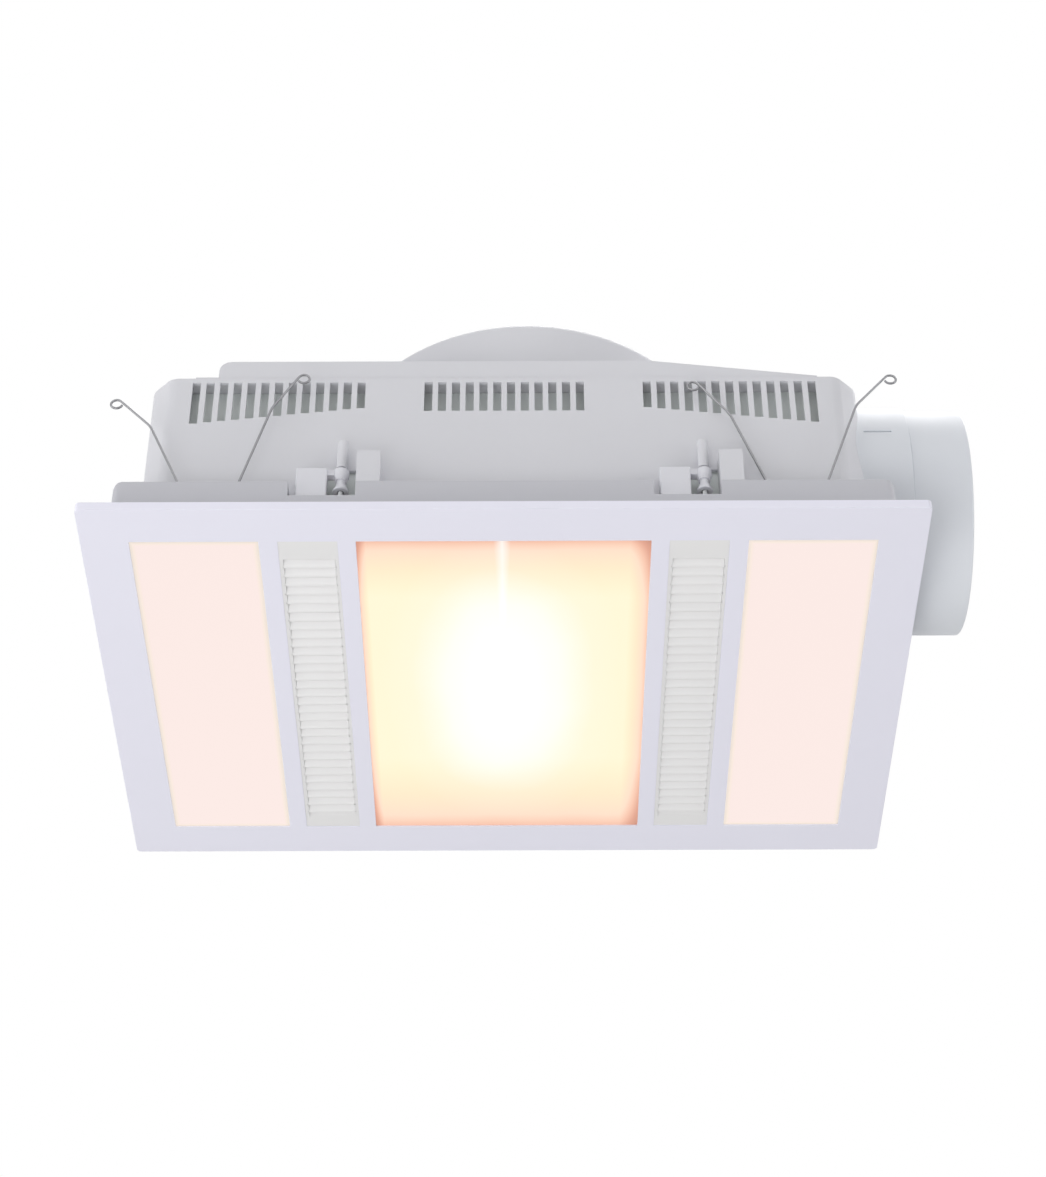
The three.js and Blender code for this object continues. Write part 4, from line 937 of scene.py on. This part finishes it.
def legRoute(side, leg):
    kinkX, kinkZ, loopX, loopZ = leg
    depth = -side * coilHalf
    root = leavingPoint(side, spring["legGap"])
    ledge = (side * spring["ledgeX"], depth, spring["ledgeZ"])
    kink = (side * kinkX, depth, kinkZ)
    runX, runZ = loopX - kinkX, loopZ - kinkZ
    heading = math.atan2(runZ, runX) + math.asin(spring["loop"] / math.hypot(runX, runZ))
    turns = arc(loopX, loopZ, spring["loop"], math.degrees(heading) + 90, -spring["sweep"],
                spring["loopSteps"])
    loop = [(side * x, depth, z) for x, z in turns]
    return [root, *bent(root, ledge, kink, spring["ledgeRound"]),
            *bent(ledge, kink, loop[0], spring["kinkRound"]), *loop]


def springWire(route, x, y, node, name):
    # one bent wire of a spring, moved to its place on the ledge
    placed = [(point[0] + x, point[1] + y, point[2]) for point in route]
    dress(wire(placed, spring["wire"]), node, name, spring["smooth"], False)


for row, y in (("front", -spring["y"]), ("rear", spring["y"])):
    for end, x in (("left", -spring["x"]), ("right", spring["x"])):
        corner, spot = f"{row}_{end}", f"{row}.{end}"
        outward = 1 if x > 0 else -1
        springWire(coilRoute(), x, y, f"spring_coil_{corner}", f"springCoil.{spot}")
        for which, side in (("outer", outward), ("inner", -outward)):
            springWire(legRoute(side, springLegs[spot][side]), x, y,
                       f"spring_leg_{corner}_{which}", f"springLeg.{spot}.{which}")
        bracket = f"spring_bracket_{corner}"
        dress(softened(bracket, spring["bracketEdge"]), bracket, f"springBracket.{spot}")
print("springs done")

louvre = {"pitch": 0.0087, "thickness": 0.0026, "run": 0.0075, "low": -0.0062, "top": -0.0022,
          "nose": 0.0006, "noseUp": 0.7, "noseBack": 0.5, "count": 31, "firstGap": -0.13415,
          "sideBand": 0.0026, "edgeGrow": 0.0017, "edgeLow": -0.0045, "edgeTop": -0.003,
          "over": 0.001, "edge": 0.0004}


def makeGrille(node):
    low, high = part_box(node)
    pitch, thick, run, nose = pick(louvre, "pitch", "thickness", "run", "nose")
    bottom, top, grow, band = pick(louvre, "low", "top", "edgeGrow", "sideBand")
    gap, over, count = pick(louvre, "firstGap", "over", "count")
    left, right = low.x + grow, high.x - grow
    front, rear = low.y + grow, high.y - grow
    innerLeft, innerRight = left + band, right - band
    start = gap + pitch - thick
    end = start + count * pitch
    slope = run / (top - bottom)
    section = [(start + nose, bottom), (start + thick - nose, bottom),
               (start + thick, bottom + nose * louvre["noseUp"]), (start + thick - run, top),
               (start - run, top), (start - slope * nose * louvre["noseBack"], bottom + nose)]
    slat = pulled([(innerLeft - over, y, z) for y, z in section],
                  (innerRight - innerLeft + 2 * over, 0, 0))
    modified(slat, "ARRAY", count=count, use_relative_offset=False, use_constant_offset=True,
             constant_offset_displace=(0, pitch, 0))
    body = merged(cube((left, front, bottom), (right, rear, top)),
                  cube((low.x, low.y, louvre["edgeLow"]), (high.x, high.y, louvre["edgeTop"])))
    spare = slope * over
    cut = [(gap + spare, bottom - over), (gap - run - spare, top + over),
           (end - run - spare, top + over), (end + spare, bottom - over)]
    opening = pulled([(innerLeft, y, z) for y, z in cut], (innerRight - innerLeft, 0, 0))
    return joined(rounded(cutAway(body, opening), louvre["edge"]), slat)


for side in ("left", "right"):
    dress(makeGrille(f"grille_{side}"), f"grille_{side}", f"louvreGrille.{side}")
print("grilles done")

clamp = {"y": -0.1535, "places": (-0.1035, 0.1275), "armTop": 0.051}
arm = {"bore": 0.0033, "hub": 0.0051, "hubFoot": 0.0039, "hubHeight": 0.0075,
       "hubEdge": 0.0004, "footIn": 0.0002, "footUp": 0.0003, "neck": 0.005,
       "neckHalf": 0.0028, "neckEdge": 0.0005, "padStart": 0.0088, "padLength": 0.0198,
       "padLow": 0.0242, "padFront": -0.0049, "padBack": 0.004, "padRound": 0.0011,
       "padSteps": 3, "ribs": 3, "ribDepth": 0.0005, "ribInset": 0.002, "over": 0.001}
sleeve = {"bore": 0.0023, "outer": 0.003, "flange": 0.005, "flangeHeight": 0.002,
          "cone": 0.004, "coneBend": (0.0006, 0.0028), "edge": 0.0004, "length": 0.018,
          "ring": 0.001, "gap": 0.0003, "above": 0.001}
screw = {"radius": 0.002, "thread": 0.0004, "pitch": 0.0016, "crest": (0.5, 0.65),
         "shank": 0.004, "headRadius": 0.0046, "head": 0.003,
         "headEdge": [(-0.0012, 0), (-0.0004, 0.0004), (0, 0.0012)], "shoulder": 0.0037,
         "top": 0.079, "point": 0.0008, "tip": 0.0024, "recess": 0.0018,
         "recessLength": 0.0052, "recessWidth": 0.0012, "over": 0.001, "steps": 24}


def makeArm():
    # hub round the sleeve, a neck, and the pad that presses on the ceiling, ribbed below
    top, half = clamp["armTop"], arm["neckHalf"]
    bore, hub, foot, edge = pick(arm, "bore", "hub", "hubFoot", "hubEdge")
    front, back, padLow, over = pick(arm, "padFront", "padBack", "padLow", "over")
    low, neckLow = top - arm["hubHeight"], top - arm["neck"]
    ring = upright([(bore, low), (foot - arm["footIn"], low), (foot, low + arm["footUp"]),
                    (hub, neckLow), (hub, top - edge), (hub - edge, top), (bore, top),
                    (bore, low)], 0, 0)
    start, end = -arm["padStart"], -arm["padStart"] - arm["padLength"]
    neck = cube((start - over, -half, neckLow), (-bore - over, half, top))
    pad = cube((end, front, padLow), (start, back, top))
    rounded(pad, arm["padRound"], arm["padSteps"])
    model = merged(pad, rounded(neck, arm["neckEdge"]), ring)
    grip = (arm["padLength"] - 2 * arm["ribInset"]) / arm["ribs"]
    ribs = [end + arm["ribInset"] + grip * at for at in range(arm["ribs"])]
    grooves = [cube((rib + over, front - over, padLow - over),
                    (rib + grip - over, back + over, padLow + arm["ribDepth"])) for rib in ribs]
    return cutAway(model, *grooves)


def makeSleeve():
    # flange, cone and barrel; its ring carries the arm's hub
    top, foot = clamp["armTop"], arm["hubFoot"]
    bore, outer, flange, edge = pick(sleeve, "bore", "outer", "flange", "edge")
    bendOut, bendUp = sleeve["coneBend"]
    low, high = top - sleeve["length"], top + sleeve["above"]
    ringHigh = top - arm["hubHeight"] - sleeve["gap"]
    ringLow = ringHigh - sleeve["ring"]
    cone = low + sleeve["flangeHeight"]
    return upright([(bore, low), (flange - edge, low), (flange, low + edge),
                    (flange, cone - edge), (flange - edge, cone),
                    (outer + bendOut, cone + bendUp), (outer, cone + sleeve["cone"]),
                    (outer, ringLow), (foot, ringLow), (foot, ringHigh), (outer, ringHigh),
                    (outer, high), (bore, high), (bore, low)], 0, 0)


def makeScrew():
    # head below with a cross recess, a short shank, then thread up to the point
    shoulder, top, radius, pitch, tip = pick(screw, "shoulder", "top", "radius", "pitch", "tip")
    head, begin = shoulder - screw["head"], shoulder + screw["shank"]
    wide, core = screw["headRadius"], radius - screw["thread"]
    rim = [(wide + across, head + up) for across, up in screw["headEdge"]]
    thread = []
    for turn in range(int((top - tip - begin) / pitch)):
        at = begin + turn * pitch
        thread += [(core, at), *[(radius, at + pitch * share) for share in screw["crest"]]]
    piece = upright([(0, head), *rim, (wide, shoulder), (radius, shoulder), *thread,
                     (core, top - tip), (screw["point"], top), (0, top)], 0, 0, screw["steps"])
    return crossCut(piece, screw["recessLength"], screw["recessWidth"], head - screw["over"],
                    head + screw["recess"])


for kind, make in (("arm", makeArm), ("sleeve", makeSleeve), ("screw", makeScrew)):
    model = make()
    for row, half in (("front", False), ("rear", True)):
        for number, x in enumerate(clamp["places"], 1):
            piece = copied(model, (x, clamp["y"], 0), half)
            dress(piece, f"clamp_{kind}_{row}_{number}", f"clamp{kind.capitalize()}.{row}.{number}")
    bpy.data.objects.remove(model)
print("clamps done")

slotBacking = {"halfX": 0.215, "front": -0.136, "back": -0.1345, "lip": -0.126, "low": 0.096,
               "lipLow": 0.1379, "high": 0.1392, "edge": 0.0003}
bayBacking = {"halfX": 0.013, "wall": 0.0012, "front": -0.1444, "back": -0.1429,
              "end": -0.1405, "low": 0.0366, "high": 0.061, "edge": 0.0003}


def makeSlotPlate():
    # angle plate that hangs from the roof behind the cooling slots
    half, front, back, lip = pick(slotBacking, "halfX", "front", "back", "lip")
    low, lipLow, high = pick(slotBacking, "low", "lipLow", "high")
    section = [(front, low), (back, low), (back, lipLow), (lip, lipLow), (lip, high),
               (front, high)]
    plate = pulled([(-half, y, z) for y, z in section], (2 * half, 0, 0))
    return rounded(plate, slotBacking["edge"])


def makeBayPlate():
    # shallow channel behind a clamp's window
    half, front, back, end = pick(bayBacking, "halfX", "front", "back", "end")
    inner, low = half - bayBacking["wall"], bayBacking["low"]
    plan = [(-half, front), (half, front), (half, end), (inner, end), (inner, back),
            (-inner, back), (-inner, end), (-half, end)]
    plate = pulled([(x, y, low) for x, y in plan], (0, 0, bayBacking["high"] - low))
    return rounded(plate, bayBacking["edge"])


slotPlate, bayPlate = makeSlotPlate(), makeBayPlate()
for row, half in (("front", False), ("rear", True)):
    plates = [copied(bayPlate, (x, 0, 0), half) for x in clamp["places"]]
    plates.insert(0, copied(slotPlate, half=half))
    made = finished(joined(*plates), f"backingPlates.{row}", "housing", "housing_plastic")
    # painted light: the plates get the paler plastic, so the inside seen through the slots and
    # clamp windows looks lit
    made.data.materials[0] = paintedLightPlastic
for model in (slotPlate, bayPlate):
    bpy.data.objects.remove(model)
print("backing plates done")

# the floor's lift is seen by lookers only, so it lights nothing
floor = {"z": -2.6, "size": 24, "colour": "#e9e9e6", "duller": 0.98, "cloud": 0.8,
         "roughness": 0.8, "lift": (0.42, 0.42, 0.415, 1)}
bpy.ops.mesh.primitive_plane_add(size=floor["size"], location=(0, 0, floor["z"]))
ground = bpy.context.object
ground.name = "floor"
paint = Finish("paleFloor", Roughness=floor["roughness"], Emission_Strength=1.0)
tones = [(0.3, shade(floor["colour"], floor["duller"])), (0.7, linear(floor["colour"]))]
paint.feed("Base Color", paint.ramp(paint.noise(floor["cloud"], 3), tones))
paint.feed("Emission Color", paint.blend(paint.looking(), black, floor["lift"]))
ground.data.materials.append(paint.material)

# lookers see a white background, everything else gets a soft even light
studio = {"strength": 0.365, "tint": (0.985, 0.99, 1, 1)}
world = bpy.data.worlds.new("studio")
bpy.context.scene.world = world
world.use_nodes = True
world.node_tree.nodes.clear()
sky = Nodes(world.node_tree)
ambient, backdrop = [sky.node("ShaderNodeBackground", None, {"Color": tint, "Strength": strength})
                     for tint, strength in ((studio["tint"], studio["strength"]), (white, 1))]
either = sky.node("ShaderNodeMixShader", None, {0: sky.looking(), 1: ambient, 2: backdrop})
sky.node("ShaderNodeOutputWorld", None, {0: either})

target = Vector((0, 0, 0.08))
softboxes = {
    "underSoftbox": {"place": (-0.9, -1.0, -2.1), "size": 2.2, "power": 33.7},
    "frontSoftbox": {"place": (-0.5, -2.2, -1.6), "size": 1.8, "power": 3.9},
    "leftSoftbox": {"place": (-2.2, -0.8, -0.2), "size": 1.5, "power": 21.3},
    "rightSoftbox": {"place": (2.2, -0.8, -0.2), "size": 1.5, "power": 15.5},
    "highSoftbox": {"place": (0.0, -1.6, 1.6), "size": 1.8, "power": 10.4},
    "topSoftbox": {"place": (0.6, 0.6, 2.2), "size": 2.0, "power": 36},
}
for name, softbox in softboxes.items():
    bpy.ops.object.light_add(type="AREA", location=softbox["place"])
    made = bpy.context.object
    made.name = name
    made.data.size = softbox["size"]
    made.data.energy = softbox["power"]
    aim = target - Vector(softbox["place"])
    made.rotation_euler = aim.to_track_quat("-Z", "Y").to_euler()
print("stage done")

bpy.context.view_layer.update()
